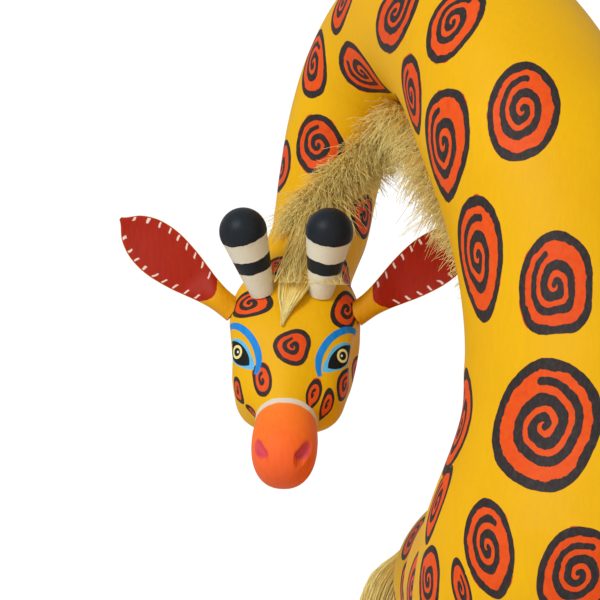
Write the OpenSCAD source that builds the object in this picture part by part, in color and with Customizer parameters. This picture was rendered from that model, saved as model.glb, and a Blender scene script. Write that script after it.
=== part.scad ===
// Carved and painted giraffe statue, built from separately carved pieces.
// Millimetres, +Z up. The statue faces -Y, its own right side is -X.
// Origin: on the floor, under the middle of the whole statue.
// The neck rises over the forelegs, arches over the right flank and comes
// down beside itself, and the head faces the front again.

/* [View] */

/* [Trunk] */
// Width of the barrel
trunk_w = 95; // [75:1:120]
// Height of the barrel
trunk_h = 84; // [64:1:104]
// Length from chest to rump
trunk_l = 158; // [125:1:200]
// Width across the chest
chest_w = 90; // [70:1:112]

/* [Legs] */
// Height of the leg seats above the floor
leg_h = 147; // [110:1:190]
// Diameter of a leg at its seat
leg_top_d = 29; // [22:0.5:36]
// Diameter of a leg above the hoof
leg_ankle_d = 13.5; // [9:0.5:18]
// Diameter of a hoof at the floor
hoof_d = 21; // [15:0.5:28]
// Height of a hoof
hoof_h = 15; // [10:0.5:22]
// Distance between left and right leg seats
stance_w = 54; // [42:1:64]
// Distance between front and back leg seats
stance_l = 98; // [80:1:125]
// How far each foot stands outside its seat
leg_splay = 8; // [0:1:14]

/* [Neck] */
// Diameter where the neck leaves the trunk
neck_base_d = 71.4; // [56:0.2:84]
// Diameter at the top of the arch
neck_arch_d = 48; // [38:0.2:56]
// Diameter where the neck meets the head
neck_end_d = 26.8; // [22:0.2:32]
// Height of the arch's centre line above the chest
neck_rise = 134; // [110:1:165]
// Sideways distance from the chest to the head
arch_reach = 72; // [60:1:90]
// Front to back distance the arch covers
arch_back = 86; // [72:1:108]

/* [Head] */
// Width of the skull
head_w = 36; // [30:0.5:43]
// Length from neck axis to nose
head_l = 66; // [54:0.5:80]
// Height of the skull, jaw to crown
head_h = 29; // [24:0.5:35]
// Width of the muzzle
muzzle_w = 18; // [14:0.5:22]
// Angle of the face below level
head_pitch = 55; // [40:1:65]
// Turn of the face towards the statue's right
head_yaw = 4.5; // [0:1:20]
// Tilt of the crown
head_roll = 2; // [0:0.5:8]

/* [Horns] */
// Length of a horn above the skull
horn_l = 25; // [20:0.2:34]
// Diameter of the round end
horn_top_d = 13.2; // [9:0.2:15]
// Diameter at the skull
horn_base_d = 7.2; // [5.6:0.2:9]
// Distance between the two horn roots
horn_gap = 12.8; // [12:0.2:18]
// Outward lean of each horn
horn_splay = 11; // [4:1:18]
// Sideways lean of both horns, towards the statue's right
horn_lean = 4; // [0:0.5:8]

/* [Ears] */
// Length of an ear from its root
ear_l = 40; // [32:0.5:50]
// Widest part of an ear
ear_w = 14.8; // [11:0.2:17]
// Angle of the ears above level
ear_rise = 37; // [25:1:50]
// Depth of the dish inside an ear
ear_dish = 1.6; // [0.8:0.1:2.4]

/* [Tail] */
// Diameter of the tail at the rump
tail_d = 11; // [8:0.5:14]
// Distance the tail swings to the statue's right
tail_reach = 36.5; // [29:0.5:46]
// Length of the tail tuft
tuft_l = 44; // [34:1:56]
// Widest part of the tail tuft
tuft_d = 19; // [14:0.5:24]
// Thickness of the binding thread
thread_d = 1; // [0.8:0.1:1.4]

/* [Mane] */
// Height of the mane above the neck
mane_h = 8; // [5:0.5:10]
// Width of the mane where it leaves the groove
mane_w = 15; // [10:0.5:20]
// Width of the mane groove
groove_w = 3.2; // [2.6:0.1:4.4]
// Depth of the mane groove
groove_depth = 2.4; // [1.6:0.1:3.2]
// Length of the forelock on the forehead
forelock_l = 20; // [14:0.5:26]

/* [Joinery] */
// Diameter of the leg dowels
leg_dowel_d = 8; // [6:0.5:10]
// Diameter of the neck dowels
neck_dowel_d = 10; // [8:0.5:12]
// Diameter of the head dowel
head_dowel_d = 7; // [5:0.5:9]
// Length of every dowel
dowel_l = 26; // [20:1:34]
// Diameter of the ear and horn pegs
peg_d = 3.6; // [3:0.1:4.4]
// Length of the ear, horn and tail pegs
peg_l = 9; // [7:0.5:12]
// Diameter of the tail peg
tail_peg_d = 5; // [4:0.2:6.4]
// Radial glue gap round a dowel
glue_gap = 0.1; // [0.05:0.05:0.25]
// Radial running gap round a push-in peg
peg_gap = 0.08; // [0.02:0.01:0.1]
// Seam left between a push-in piece and the wood it sits on
seat_gap = 0.4; // [0.3:0.05:0.8]
// Room round a horn, ear or tail root in its seat
seat_rim = 0.3; // [0.2:0.05:0.6]
// Gap round the mane's root in its groove
mane_gap = 0.3; // [0.2:0.05:0.5]

/* [Hidden] */

YELLOW = "#f0bc08";
ORANGE = "#ef6a2c";
RED = "#a82c14";
CREAM = "#e6d6a4";
WHITE = "#e4dfcf";
WOOD = "#c9a878";
THREAD = "#8a6a3c";

round_n = 72;
belly_drop = 2;
trunk_z = leg_h + belly_drop + trunk_h / 2;
chest_y = -0.316 * trunk_l;
seat_bore = dowel_l / 2 + 1;

// ---------- vectors ----------
function unit(v) = v / norm(v);
function clamp01(x) = min(1, max(0, x));
function mixv(a, b, t) = a + (b - a) * t;
function smooth(t) = let (u = clamp01(t)) u * u * (3 - 2 * u);
function rx(v, a) = [v.x, v.y * cos(a) - v.z * sin(a), v.y * sin(a) + v.z * cos(a)];
function ry(v, a) = [v.x * cos(a) + v.z * sin(a), v.y, v.z * cos(a) - v.x * sin(a)];
function rz(v, a) = [v.x * cos(a) - v.y * sin(a), v.x * sin(a) + v.y * cos(a), v.z];

// Smooth curve through every point of P, with one unit of t per point
function curve(P, t) =
  let (n = len(P) - 1, c = min(max(t, 0), n - 0.0001), i = floor(c), u = c - i,
       a = P[max(i - 1, 0)], b = P[i], d = P[i + 1], e = P[min(i + 2, n)])
  0.5 * (2 * b + (d - a) * u + (2 * a - 5 * b + 4 * d - e) * u * u
         + (3 * b - a - 3 * d + e) * u * u * u);

module placed(o, x, y, z)
  multmatrix([[x.x, y.x, z.x, o.x], [x.y, y.y, z.y, o.y], [x.z, y.z, z.z, o.z], [0, 0, 0, 1]])
    children();

// Children moved to o and turned so that their +Z is unit vector d
module facing(o, d) {
  s = abs(d.z) < 0.9 ? unit(cross([0, 0, 1], d)) : unit(cross([0, 1, 0], d));
  placed(o, s, cross(d, s), d) children();
}

// A round bar from o along unit vector d
module bar(o, d, r, l, back = 0)
  facing(o, d) translate([0, 0, -back]) cylinder(h = l + back, r = r, $fn = round_n);

// ---------- rounded carved forms ----------
function blend(a, b, k) = let (h = max(k - abs(a - b), 0) / k) min(a, b) - h * h * k / 4;
function carve(a, b, k) = -blend(-a, b, k);
function egg(p, c, r) =
  let (q = [(p.x - c.x) / r.x, (p.y - c.y) / r.y, (p.z - c.z) / r.z],
       m = norm(q), g = norm([q.x / r.x, q.y / r.y, q.z / r.z]))
  g < 0.000001 ? -min(r) : m * (m - 1) / g;
function block(p, c, r, e) =
  let (m = pow(pow(abs(p.x - c.x) / r.x, e) + pow(abs(p.y - c.y) / r.y, e)
               + pow(abs(p.z - c.z) / r.z, e), 1 / e))
  (m - 1) * min(r);
function rod(p, a, b, ra, rb) =
  let (d = b - a, h = clamp01((p - a) * d / (d * d)))
  norm(p - a - h * d) - (ra + (rb - ra) * h);

function trunk_depth(p) =
  let (q = [abs(p.x), p.y, p.z],
       barrel = egg(p, [0, 0.03 * trunk_l, trunk_z], [trunk_w / 2, 0.475 * trunk_l, trunk_h / 2]),
       chest = egg(p, [0, chest_y, trunk_z + 0.12 * trunk_h],
                   [chest_w / 2, 0.225 * trunk_l, 0.52 * trunk_h]),
       neck = rod(p, N0, N0 + 1.6 * (N1 - N0), neck_base_d / 2 + 2.4, neck_base_d / 2 - 3.2),
       rump = egg(q, [0.24 * trunk_w, 0.29 * trunk_l, trunk_z - 0.1 * trunk_h],
                  [0.235 * trunk_w, 0.17 * trunk_l, 0.4 * trunk_h]),
       front = rod(q, [stance_w / 2, -stance_l / 2, trunk_z], [stance_w / 2, -stance_l / 2, leg_h - 6],
                   0.62 * leg_top_d, leg_top_d / 2 - 0.4),
       rear = rod(q, [stance_w / 2, stance_l / 2, trunk_z], [stance_w / 2, stance_l / 2, leg_h - 6],
                  0.7 * leg_top_d, leg_top_d / 2 - 0.4))
  blend(blend(blend(blend(barrel, chest, 16), neck, 14), rump, 12), blend(front, rear, 3), 9);

function head_depth(p) =
  let (k = head_l / 66, w = head_w / 36, h = head_h / 29, m = muzzle_w / 18,
       skull = block(p, [0, -16.5 * k, 0], [18.2 * w, 17.5 * k, 14.8 * h], 2.9),
       face = block(p, [0, -30.8 * k, -1.5 * h], [15.7 * w, 15 * k, 11 * h], 3),
       bridge = rod(p, [0, -26 * k, 3 * h], [0, -50 * k, 1.2 * h], 10 * h, 7.2 * m),
       nose = block(p, [0, -53.5 * k, 0.2 * h], [9 * m, 12.6 * k, 9 * h], 2.3),
       neck = rod(p, [0, 0, 0], 1.5 * HN, neck_end_d / 2, neck_end_d / 2 + 0.1),
       socket = egg([abs(p.x), p.y, p.z], [21.6 * w, -26 * k, 0.5 * h], [5.6, 9 * k, 10 * h]))
  carve(blend(blend(blend(blend(skull, face, 5), bridge, 3), nose, 1.6), neck, 5), socket, 2.5);

function form(which, p) = which == 0 ? trunk_depth(p) : head_depth(p);
function reach(which, o, d, lo, hi, n = 15) =
  n == 0 ? (lo + hi) / 2
  : form(which, o + d * (lo + hi) / 2) > 0
    ? reach(which, o, d, lo, (lo + hi) / 2, n - 1)
    : reach(which, o, d, (lo + hi) / 2, hi, n - 1);

// Closed skin found by looking outwards from o; a sets the rings, n the points in each
module skin(which, o, a, n, far) {
  m = len(a);
  pts = concat(
    [o + [0, -1, 0] * reach(which, o, [0, -1, 0], 0, far)],
    [for (t = a, j = [0 : n - 1])
      let (f = j * 360 / n, d = [sin(t) * cos(f), -cos(t), sin(t) * sin(f)])
      o + d * reach(which, o, d, 0, far)],
    [o + [0, 1, 0] * reach(which, o, [0, 1, 0], 0, far)]);
  last = 1 + m * n;
  polyhedron(points = pts, faces = concat(
    [for (j = [0 : n - 1]) [0, 1 + (j + 1) % n, 1 + j]],
    [for (i = [0 : m - 2], j = [0 : n - 1], k = [0, 1])
      let (p = 1 + i * n + j, q = 1 + i * n + (j + 1) % n)
      k == 0 ? [p, q, p + n] : [q, q + n, p + n]],
    [for (j = [0 : n - 1]) [last, 1 + (m - 1) * n + j, 1 + (m - 1) * n + (j + 1) % n]]),
    convexity = 6);
}

// Closed skin over a row of rings, each a list of points, the ends capped flat.
// Rings turn left about the way the row runs, or right if back is true.
module loft(rings, back = false) {
  m = len(rings);
  n = len(rings[0]);
  faces = concat(
    [[for (j = [0 : n - 1]) j]],
    [for (i = [0 : m - 2], j = [0 : n - 1], k = [0, 1])
      let (p = i * n + j, q = i * n + (j + 1) % n)
      k == 0 ? [p, p + n, q] : [q, p + n, q + n]],
    [[for (j = [n - 1 : -1 : 0]) (m - 1) * n + j]]);
  polyhedron(points = [for (r = rings, p = r) p],
    faces = back ? [for (f = faces) [for (j = [len(f) - 1 : -1 : 0]) f[j]]] : faces,
    convexity = 8);
}

// ---------- neck line ----------
// Each row: share of arch_reach, of arch_back and of neck_rise
NECK = [[0, 0, 0], [0, 0.005, 0.19], [0.005, 0.02, 0.33], [0.05, 0.05, 0.48],
  [0.125, 0.1, 0.63], [0.225, 0.2, 0.77], [0.35, 0.37, 0.91], [0.505, 0.6, 0.99],
  [0.665, 0.81, 0.98], [0.8, 0.95, 0.9], [0.89, 1.01, 0.79], [0.94, 1.01, 0.68],
  [0.98, 0.96, 0.565], [1.06, 0.86, 0.455]];
chest_z = trunk_z + 0.3 * trunk_h;
NECK_P = [for (k = NECK) [-arch_reach * k.x, chest_y + arch_back * k.y, chest_z + neck_rise * k.z]];
// Share of the taper from base to arch, then from arch to end
TAPER = [1.34, 1, 0.81, 0.65, 0.54, 0.44, 0.26, 0, -0.32, -0.6, -0.79, -0.9, -0.96, -1];
NECK_R = [for (t = TAPER) t >= 0 ? (neck_arch_d + (neck_base_d - neck_arch_d) * t) / 2
          : (neck_arch_d + (neck_arch_d - neck_end_d) * t) / 2];
// Side of the neck the mane grows from
BACK = [[-0.2, 1, 0], [-0.25, 1, 0], [-0.35, 0.95, 0], [-0.5, 0.88, 0], [-0.57, 0.82, 0],
  [-0.57, 0.82, -0.3], [-0.45, 0.6, -0.6], [-0.1, 0.1, -1], [0.3, -0.6, -0.75],
  [0.6, -0.75, -0.3], [0.55, -0.85, 0], [0.15, -1, 0], [-0.4, -0.92, 0], [-0.3, -0.95, 0]];
T_BASE = 1;
T_RISE = 5;
T_FALL = 9.5;
T_HEAD = 12.25;
T_STEP = 0.25;

function neck_c(t) = curve(NECK_P, t);
function neck_r(t) = curve(NECK_R, t);
function neck_t(t) = unit(neck_c(min(t + 0.02, 12.99)) - neck_c(t - 0.02));
function neck_n(t) = let (d = curve(BACK, t), a = neck_t(t)) unit(d - (d * a) * a);
function neck_at(t, u, v) = let (a = neck_t(t), n = neck_n(t)) neck_c(t) + n * u + cross(a, n) * v;
function stations(a, b) =
  let (m = round((b - a) / T_STEP)) [for (i = [0 : m]) a + (b - a) * i / m];
N0 = neck_c(0);
N1 = neck_c(T_BASE);

// Ring of the neck with the mane groove in it
neck_sides = 32;
function neck_ring(t) =
  let (r = neck_r(t), g = asin(groove_w / 2 / r), w = groove_w / 2,
       b = r * cos(g) - groove_depth)
  concat([for (j = [0 : neck_sides]) let (a = g + (360 - 2 * g) * j / neck_sides)
           neck_at(t, r * cos(a), r * sin(a))],
         [neck_at(t, b, -w), neck_at(t, b, w)]);

module neck_dowel_bore(t, d)
  bar(neck_c(t), neck_t(t), d / 2 + glue_gap, seat_bore, seat_bore);
module neck_piece(a, b, da, db)
  difference() {
    loft([for (t = stations(a, b)) neck_ring(t)]);
    neck_dowel_bore(a, da);
    neck_dowel_bore(b, db);
  }
module neck_dowel(t, d)
  bar(neck_c(t), neck_t(t), d / 2, dowel_l / 2, dowel_l / 2);

// ---------- mane ----------
// Ring of the mane: a root in the groove, and hair that fans out above the wood
function mane_ring(t, i, grow) =
  let (r = neck_r(t), w = groove_w / 2 - mane_gap, top = mane_h * grow * (i % 2 == 0 ? 1 : 0.72),
       f = mane_w / 2 * (0.45 + 0.55 * grow) * (i % 2 == 0 ? 1 : 0.8), z = r + seat_gap)
  [for (q = [[r - groove_depth + mane_gap, -w], [z, -w], [z + 0.1, -f], [z + 0.45 * top, -0.92 * f],
             [z + 0.85 * top, -0.5 * f], [z + top, 0], [z + 0.85 * top, 0.5 * f],
             [z + 0.45 * top, 0.92 * f], [z + 0.1, f], [z, w], [r - groove_depth + mane_gap, w]])
    neck_at(t, q.x, -q.y)];
module mane_piece(a, b, ga, gb) {
  s = stations(a, b);
  m = len(s) - 1;
  loft([for (i = [0 : m])
    let (t = i == 0 ? s[0] + 0.03 : i == m ? s[m] - 0.03 : s[i])
    mane_ring(t, i, ga + (gb - ga) * i / m)], true);
}

// ---------- head ----------
HEAD_O = neck_c(13);
function head_v(v) = ry(rz(rx(v, head_pitch), -head_yaw), head_roll);
function head_back(v) = rx(rz(ry(v, -head_roll), head_yaw), -head_pitch);
HEAD_X = head_v([1, 0, 0]);
HEAD_Y = head_v([0, 1, 0]);
HEAD_Z = head_v([0, 0, 1]);
// Neck stub, seen from inside the head
HN = head_back(neck_c(T_HEAD) - HEAD_O);
module on_head() placed(HEAD_O, HEAD_X, HEAD_Y, HEAD_Z) children();
k_l = head_l / 66;

// Horn root and lean in the head's own directions; s is 1 for the statue's left
function horn_d(s) = unit([s * tan(horn_splay) - tan(horn_lean), 0.43, 0.88]);
function horn_in(s) = [s * horn_gap / 2, -16 * k_l, 0.2 * head_h];
function horn_o(s) = horn_in(s) + horn_d(s) * reach(1, horn_in(s), horn_d(s), 0, 30);
// Ear root and direction; it rises from the bowed head towards the sky
function ear_d(s) = [s * cos(ear_rise), sin(ear_rise) * sin(head_pitch), sin(ear_rise) * cos(head_pitch)];
EAR_FACE = [0, -cos(head_pitch), sin(head_pitch)];
function ear_in(s) = [s * 0.26 * head_w, -18.6 * k_l, 0.1 * head_h];
function ear_o(s) = ear_in(s) + ear_d(s) * reach(1, ear_in(s), ear_d(s), 0, 30);

// ---------- trunk ----------
module trunk()
  home() color(YELLOW) difference() {
    skin(0, [0, -0.06 * trunk_l, trunk_z],
         [for (i = [1 : 33]) 180 * i / 34], 56, 190);
    // flat for the neck
    facing(N1, neck_t(T_BASE))
      translate([-neck_base_d, -neck_base_d, 0]) cube([2 * neck_base_d, 2 * neck_base_d, neck_base_d * 2]);
    // flats for the legs
    translate([-trunk_w, -trunk_l, leg_h - 60]) cube([2 * trunk_w, 2 * trunk_l, 60]);
    neck_dowel_bore(T_BASE, neck_dowel_d);
    for (sx = [-1, 1], sy = [-1, 1])
      bar([sx * stance_w / 2, sy * stance_l / 2, leg_h], [0, 0, 1], leg_dowel_d / 2 + glue_gap, seat_bore, 1);
    bar(TAIL_O, TAIL_D, tail_peg_d / 2 + peg_gap, 4, peg_l + 1);
    bar(TAIL_O, TAIL_D, tail_d / 2 + seat_rim, 5, 0);
  }

module neck_lower() home() color(YELLOW) neck_piece(T_BASE, T_RISE, neck_dowel_d, neck_dowel_d);
module neck_arch() home() color(YELLOW) neck_piece(T_RISE, T_FALL, neck_dowel_d, head_dowel_d);
module neck_upper() home() color(YELLOW) neck_piece(T_FALL, T_HEAD, head_dowel_d, head_dowel_d);

module head()
  home() color(YELLOW) difference() {
    on_head() difference() {
      skin(1, [0, -22 * k_l, 0], [for (i = [1 : 35]) 180 * pow(i / 36, 1.3)], 52, 80);
      // nostril slits
      for (s = [-1, 1])
        nostril(s);
      // holes for the pegs, and flat seats round them
      for (s = [-1, 1]) {
        bar(horn_o(s), horn_d(s), peg_d / 2 + peg_gap, 3, peg_l + 1);
        bar(horn_o(s), horn_d(s), horn_base_d / 2 + seat_rim, 4, 0);
        bar(ear_o(s), ear_d(s), peg_d / 2 + peg_gap, 3, peg_l + 1);
        bar(ear_o(s), ear_d(s), EAR[0] * ear_w / 2 + seat_rim, 4, 0);
      }
      bar(LOCK_O, LOCK_D, lock_plug_d / 2 + glue_gap, 4, lock_plug_l + 1);
    }
    placed(neck_c(T_HEAD), neck_n(T_HEAD), cross(neck_t(T_HEAD), neck_n(T_HEAD)), neck_t(T_HEAD))
      translate([-neck_end_d, -neck_end_d, -2 * neck_end_d]) cube([2 * neck_end_d, 2 * neck_end_d, 2 * neck_end_d]);
    neck_dowel_bore(T_HEAD, head_dowel_d);
  }

// A short groove with round ends, cut slanting into the end of the muzzle
nostril_r = 1.5;
module nostril(s) {
  a0 = [s * 0.29 * muzzle_w, -58.3 * k_l, 0.12 * head_h];
  d = unit([s * 0.28, -0.3, 0.9]);
  o = a0 + d * (reach(1, a0, d, 0, 30) - 0.3 * nostril_r);
  e = unit([s * 0.52, 0.84, -0.1]);
  f = unit(e - (e * d) * d);
  facing(o, f) rotate_extrude($fn = round_n) polygon(concat(
    [[0, -1.7 - nostril_r]],
    [for (a = [-72 : 24 : 0]) [nostril_r * cos(a), -1.7 + nostril_r * sin(a)]],
    [for (a = [0 : 24 : 72]) [nostril_r * cos(a), 1.7 + nostril_r * sin(a)]],
    [[0, 1.7 + nostril_r]]));
}

// ---------- horns ----------
module horn(s) {
  r = horn_top_d / 2;
  b = horn_base_d / 2;
  c = horn_l - r;
  home() on_head() facing(horn_o(s) + horn_d(s) * seat_gap, horn_d(s))
    color(WHITE) {
      rotate_extrude($fn = round_n) polygon(concat(
        [[0, -peg_l], [peg_d / 2 - 0.4, -peg_l], [peg_d / 2, -peg_l + 0.4], [peg_d / 2, 0], [b, 0]],
        [for (a = [-18 : 9 : 81]) [r * cos(a), c + r * sin(a)]], [[0, c + r]]));
    }
}
// +X is the statue's left side
module horn_left() horn(1);
module horn_right() horn(-1);

// ---------- ears ----------
stalk_d = 6.2;
// Half width along the ear, as shares of half of ear_w, from root to tip
EAR = [0.46, 0.47, 0.56, 0.7, 0.84, 0.94, 1, 0.98, 0.86, 0.58, 0.07];
function ear_ring(t) =
  let (w = curve(EAR, 10 * t) * ear_w / 2, k = smooth((t - 0.06) / 0.3), q = w / (ear_w / 2),
       b = mixv(stalk_d / 2, 2.5 * q + 0.2, k), f = mixv(stalk_d / 2, 0.8 - ear_dish * q, k),
       n = 8, bow = 2.4 * sin(180 * t))
  concat([for (i = [0 : n]) let (a = 180 * i / n) [ear_l * t, w * cos(a), bow - b * sin(a)]],
         [for (i = [1 : n - 1]) let (a = 180 + 180 * i / n, e = abs(cos(a)))
           [ear_l * t, w * cos(a), bow + f * pow(1 - e * e, 0.5) + k * 0.9 * e * e * e * (1 - e)]]);
module ear(s) {
  d = ear_d(s);
  home() on_head() placed(ear_o(s) + d * seat_gap, d, cross(EAR_FACE, d), EAR_FACE)
    color(RED) {
      loft([for (t = EAR_T) ear_ring(t)], true);
      rotate([0, 90, 0]) translate([0, 0, -peg_l]) cylinder(h = peg_l + 1.5, r = peg_d / 2, $fn = round_n);
    }
}
EAR_T = [0, 0.05, 0.1, 0.16, 0.22, 0.29, 0.36, 0.44, 0.52, 0.6, 0.68, 0.76, 0.83, 0.89, 0.94, 0.98, 1];
module ear_left() ear(1);
module ear_right() ear(-1);

// ---------- legs ----------
// Each row: height share, thickness share, then forward bend share of the front and the back leg
LEG = [[1, 1, 0, 0], [0.93, 0.97, 0, 0.2], [0.82, 0.8, 0.05, 0.35], [0.7, 0.52, 0.1, 0.1],
  [0.6, 0.32, 0.1, -0.5], [0.52, 0.34, 0.3, -0.9], [0.46, 0.28, 0.15, -0.8], [0.36, 0.1, 0, -0.5],
  [0.24, 0, 0, -0.2], [0.15, 0.02, 0, 0]];
bend = 7;
module leg(sx, sy) {
  sides = 24;
  rows = concat(
    [for (i = [0 : 27]) let (u = i / 27 * (len(LEG) - 1), k = curve(LEG, u))
      [k[0] * leg_h, (leg_ankle_d + (leg_top_d - leg_ankle_d) * k[1]) / 2, bend * (sy < 0 ? k[2] : k[3])]],
    [[hoof_h, leg_ankle_d / 2 + 0.2, 0], [hoof_h - 0.8, leg_ankle_d / 2 + 1.6, 0],
     [hoof_h * 0.5, 0.45 * hoof_d, 0], [1, hoof_d / 2, 0], [0, hoof_d / 2 - 0.8, 0]]);
  kept = [for (k = rows) if (k[0] > hoof_h + 2 || k[0] <= hoof_h) k];
  loft([for (k = kept) let (t = 1 - k[0] / leg_h,
      c = [sx * (stance_w / 2 + leg_splay * t), sy * (stance_l / 2 + leg_splay * 0.6 * t) - k[2], min(k[0], leg_h)])
    [for (j = [0 : sides - 1]) let (a = -j * 360 / sides)
      c + [k[1] * cos(a), k[1] * 1.06 * sin(a), 0]]]);
}
module leg_piece(sx, sy)
  home() color(YELLOW) difference() {
    leg(sx, sy);
    bar([sx * stance_w / 2, sy * stance_l / 2, leg_h], [0, 0, 1], leg_dowel_d / 2 + glue_gap, 1, seat_bore);
  }
module leg_dowel(sx, sy)
  home() color(WOOD) bar([sx * stance_w / 2, sy * stance_l / 2, leg_h], [0, 0, 1], leg_dowel_d / 2, dowel_l / 2, dowel_l / 2);
module leg_front_left() leg_piece(1, -1);
module leg_front_right() leg_piece(-1, -1);
module leg_back_left() leg_piece(1, 1);
module leg_back_right() leg_piece(-1, 1);
module dowel_leg_fl() leg_dowel(1, -1);
module dowel_leg_fr() leg_dowel(-1, -1);
module dowel_leg_bl() leg_dowel(1, 1);
module dowel_leg_br() leg_dowel(-1, 1);
module dowel_neck_base() home() color(WOOD) neck_dowel(T_BASE, neck_dowel_d);
module dowel_neck_rise() home() color(WOOD) neck_dowel(T_RISE, neck_dowel_d);
module dowel_neck_fall() home() color(WOOD) neck_dowel(T_FALL, head_dowel_d);
module dowel_head() home() color(WOOD) neck_dowel(T_HEAD, head_dowel_d);

// ---------- tail ----------
TAIL_D = unit([-0.12, 0.95, 0.28]);
TAIL_IN = [0, 0.3 * trunk_l, trunk_z + 0.16 * trunk_h];
TAIL_O = TAIL_IN + TAIL_D * reach(0, TAIL_IN, TAIL_D, 0, 120);
TAIL_S = TAIL_O + TAIL_D * seat_gap;
// Each row: share of tail_reach sideways, then share of it backwards and upwards from the root
TAIL = [[0, 0, 0], [-0.035, 0.22, 0.06], [-0.17, 0.46, 0.08], [-0.42, 0.6, 0.02], [-0.7, 0.6, -0.11], [-0.94, 0.52, -0.34]];
TAIL_P = [for (k = TAIL) TAIL_S + tail_reach * k];
TAIL_END = curve(TAIL_P, 5);
TAIL_T = unit(TAIL_END - curve(TAIL_P, 4.8));
tip_pin_d = 3;
tip_pin_l = 8;
tail_end_d = 6;
function tail_t(u) = u < 0.02 ? TAIL_D : u > 4.95 ? TAIL_T
  : unit(curve(TAIL_P, u + 0.05) - curve(TAIL_P, u - 0.05));
function tail_ring(u) =
  let (a = tail_t(u), n = unit(cross(a, [0.2, 0.1, 1])), b = cross(a, n), c = curve(TAIL_P, u),
       r = tail_d / 2 + (tail_end_d - tail_d) / 2 * u / 5)
  [for (j = [0 : 19]) let (q = j * 18) c + r * (n * cos(q) + b * sin(q))];
module tail()
  home() color(YELLOW) {
    loft([for (i = [0 : 20]) tail_ring(i / 4)]);
    bar(TAIL_S, TAIL_D, tail_peg_d / 2, 2, peg_l);
    bar(TAIL_END, TAIL_T, tip_pin_d / 2, tip_pin_l, 2);
  }

// ---------- tuft ----------
TUFT_D = unit([-0.1, 0.06, -1]);
tuft_neck_d = 8;
// The bundle leaves the tail's end and droops towards the floor
function tuft_c(u) = TAIL_END + TAIL_T * (seat_gap + tuft_l * u * (1 - 0.55 * u)) + TUFT_D * tuft_l * 0.72 * u * u;
function tuft_t(u) = u < 0.01 ? TAIL_T : unit(tuft_c(u + 0.01) - tuft_c(u - 0.01));
function tuft_r(u) = tuft_neck_d / 2 + (tuft_d - tuft_neck_d) / 2 * smooth((u - 0.1) / 0.4)
  - tuft_d * 0.4 * smooth((u - 0.62) / 0.38);
TUFT_U = [0, 0.04, 0.08, 0.13, 0.19, 0.26, 0.34, 0.42, 0.5, 0.58, 0.66, 0.74, 0.82, 0.9, 0.96, 1];
module tail_tuft()
  home() color(CREAM) difference() {
    loft([for (u = TUFT_U) let (a = tuft_t(u), n = unit(cross(a, [0.2, 0.1, 1])), b = cross(a, n),
        c = tuft_c(u), r = tuft_r(u), g = 0.1 * smooth((u - 0.16) / 0.2))
      [for (j = [0 : 23]) let (q = j * 15, h = r * (j % 2 == 0 ? 1 : 1 - g)) c + h * (n * cos(q) + b * sin(q))]]);
    bar(TAIL_END, TAIL_T, tip_pin_d / 2 + glue_gap, tip_pin_l + 1, 2);
  }
binding_at = 2.4;
module tuft_binding()
  home() color(THREAD) facing(TAIL_END + TAIL_T * (seat_gap + binding_at), TAIL_T)
    rotate_extrude($fn = round_n)
      polygon(concat([[tuft_neck_d / 2 + 0.15, -1.5 * thread_d], [tuft_neck_d / 2 + 0.15, 1.5 * thread_d]],
        [for (j = [1 : -1 : -1], a = [80 : -40 : -80])
          [tuft_neck_d / 2 + 0.15 + thread_d / 2 + thread_d / 2 * cos(a), (j + sin(a) / 2) * thread_d]]));

module mane_lower() home() color(CREAM) mane_piece(T_BASE, T_RISE, 0.5, 0.9);
module mane_arch() home() color(CREAM) mane_piece(T_RISE, T_FALL, 0.9, 0.85);
module mane_upper() home() color(CREAM) mane_piece(T_FALL, T_HEAD, 0.85, 1.1);

// ---------- forelock ----------
lock_plug_d = 4;
lock_plug_l = 6;
lock_w = 14;
lock_waist = 7.4;
lock_t = 4;
// The lock lies on the front of the neck stub, runs between the horns and ends on the forehead
LOCK_TOP = 0.88 * HN;
LOCK_TIP = [0, 8 * k_l - forelock_l, 0];
STUB_FRONT = unit(EAR_FACE - (EAR_FACE * unit(HN)) * unit(HN));
function lock_out(u) = unit(mixv(STUB_FRONT, EAR_FACE, smooth(1.4 * u)));
function lock_base(u) = let (o = mixv(LOCK_TOP, LOCK_TIP, u)) o + lock_out(u) * reach(1, o, lock_out(u), 0, 40);
LOCK_IN = [0, -4 * k_l, 0];
LOCK_D = EAR_FACE;
LOCK_O = LOCK_IN + LOCK_D * reach(1, LOCK_IN, LOCK_D, 0, 40);
lock_steps = 16;
module forelock()
  home() color(CREAM) on_head() {
    difference() {
      loft([for (i = [0 : lock_steps]) let (u = i / lock_steps, o = lock_base(u) + lock_out(u) * (seat_gap + 0.35),
        w = mixv(lock_w, lock_waist, smooth(u / 0.6)) / 2 * (1 - 0.93 * smooth((u - 0.55) / 0.45)),
        h = lock_t * (1 - 0.8 * smooth((u - 0.6) / 0.4)) * (i % 2 == 0 ? 1 : 0.84))
      [for (q = [[-1, 0], [-0.86, 0.5], [-0.45, 0.9], [0, 0.8], [0.45, 0.95], [0.86, 0.5], [1, 0]])
        o + [q.x * w, 0, 0] + lock_out(u) * q.y * h]], true);
      // parted round the horns
      for (s = [-1, 1])
        facing(horn_o(s), horn_d(s))
          cylinder(h = horn_l, r1 = horn_base_d / 2 + 0.7, r2 = horn_top_d / 2 + 0.9, $fn = round_n);
    }
    bar(LOCK_O, LOCK_D, lock_plug_d / 2, 2, lock_plug_l);
  }

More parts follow.
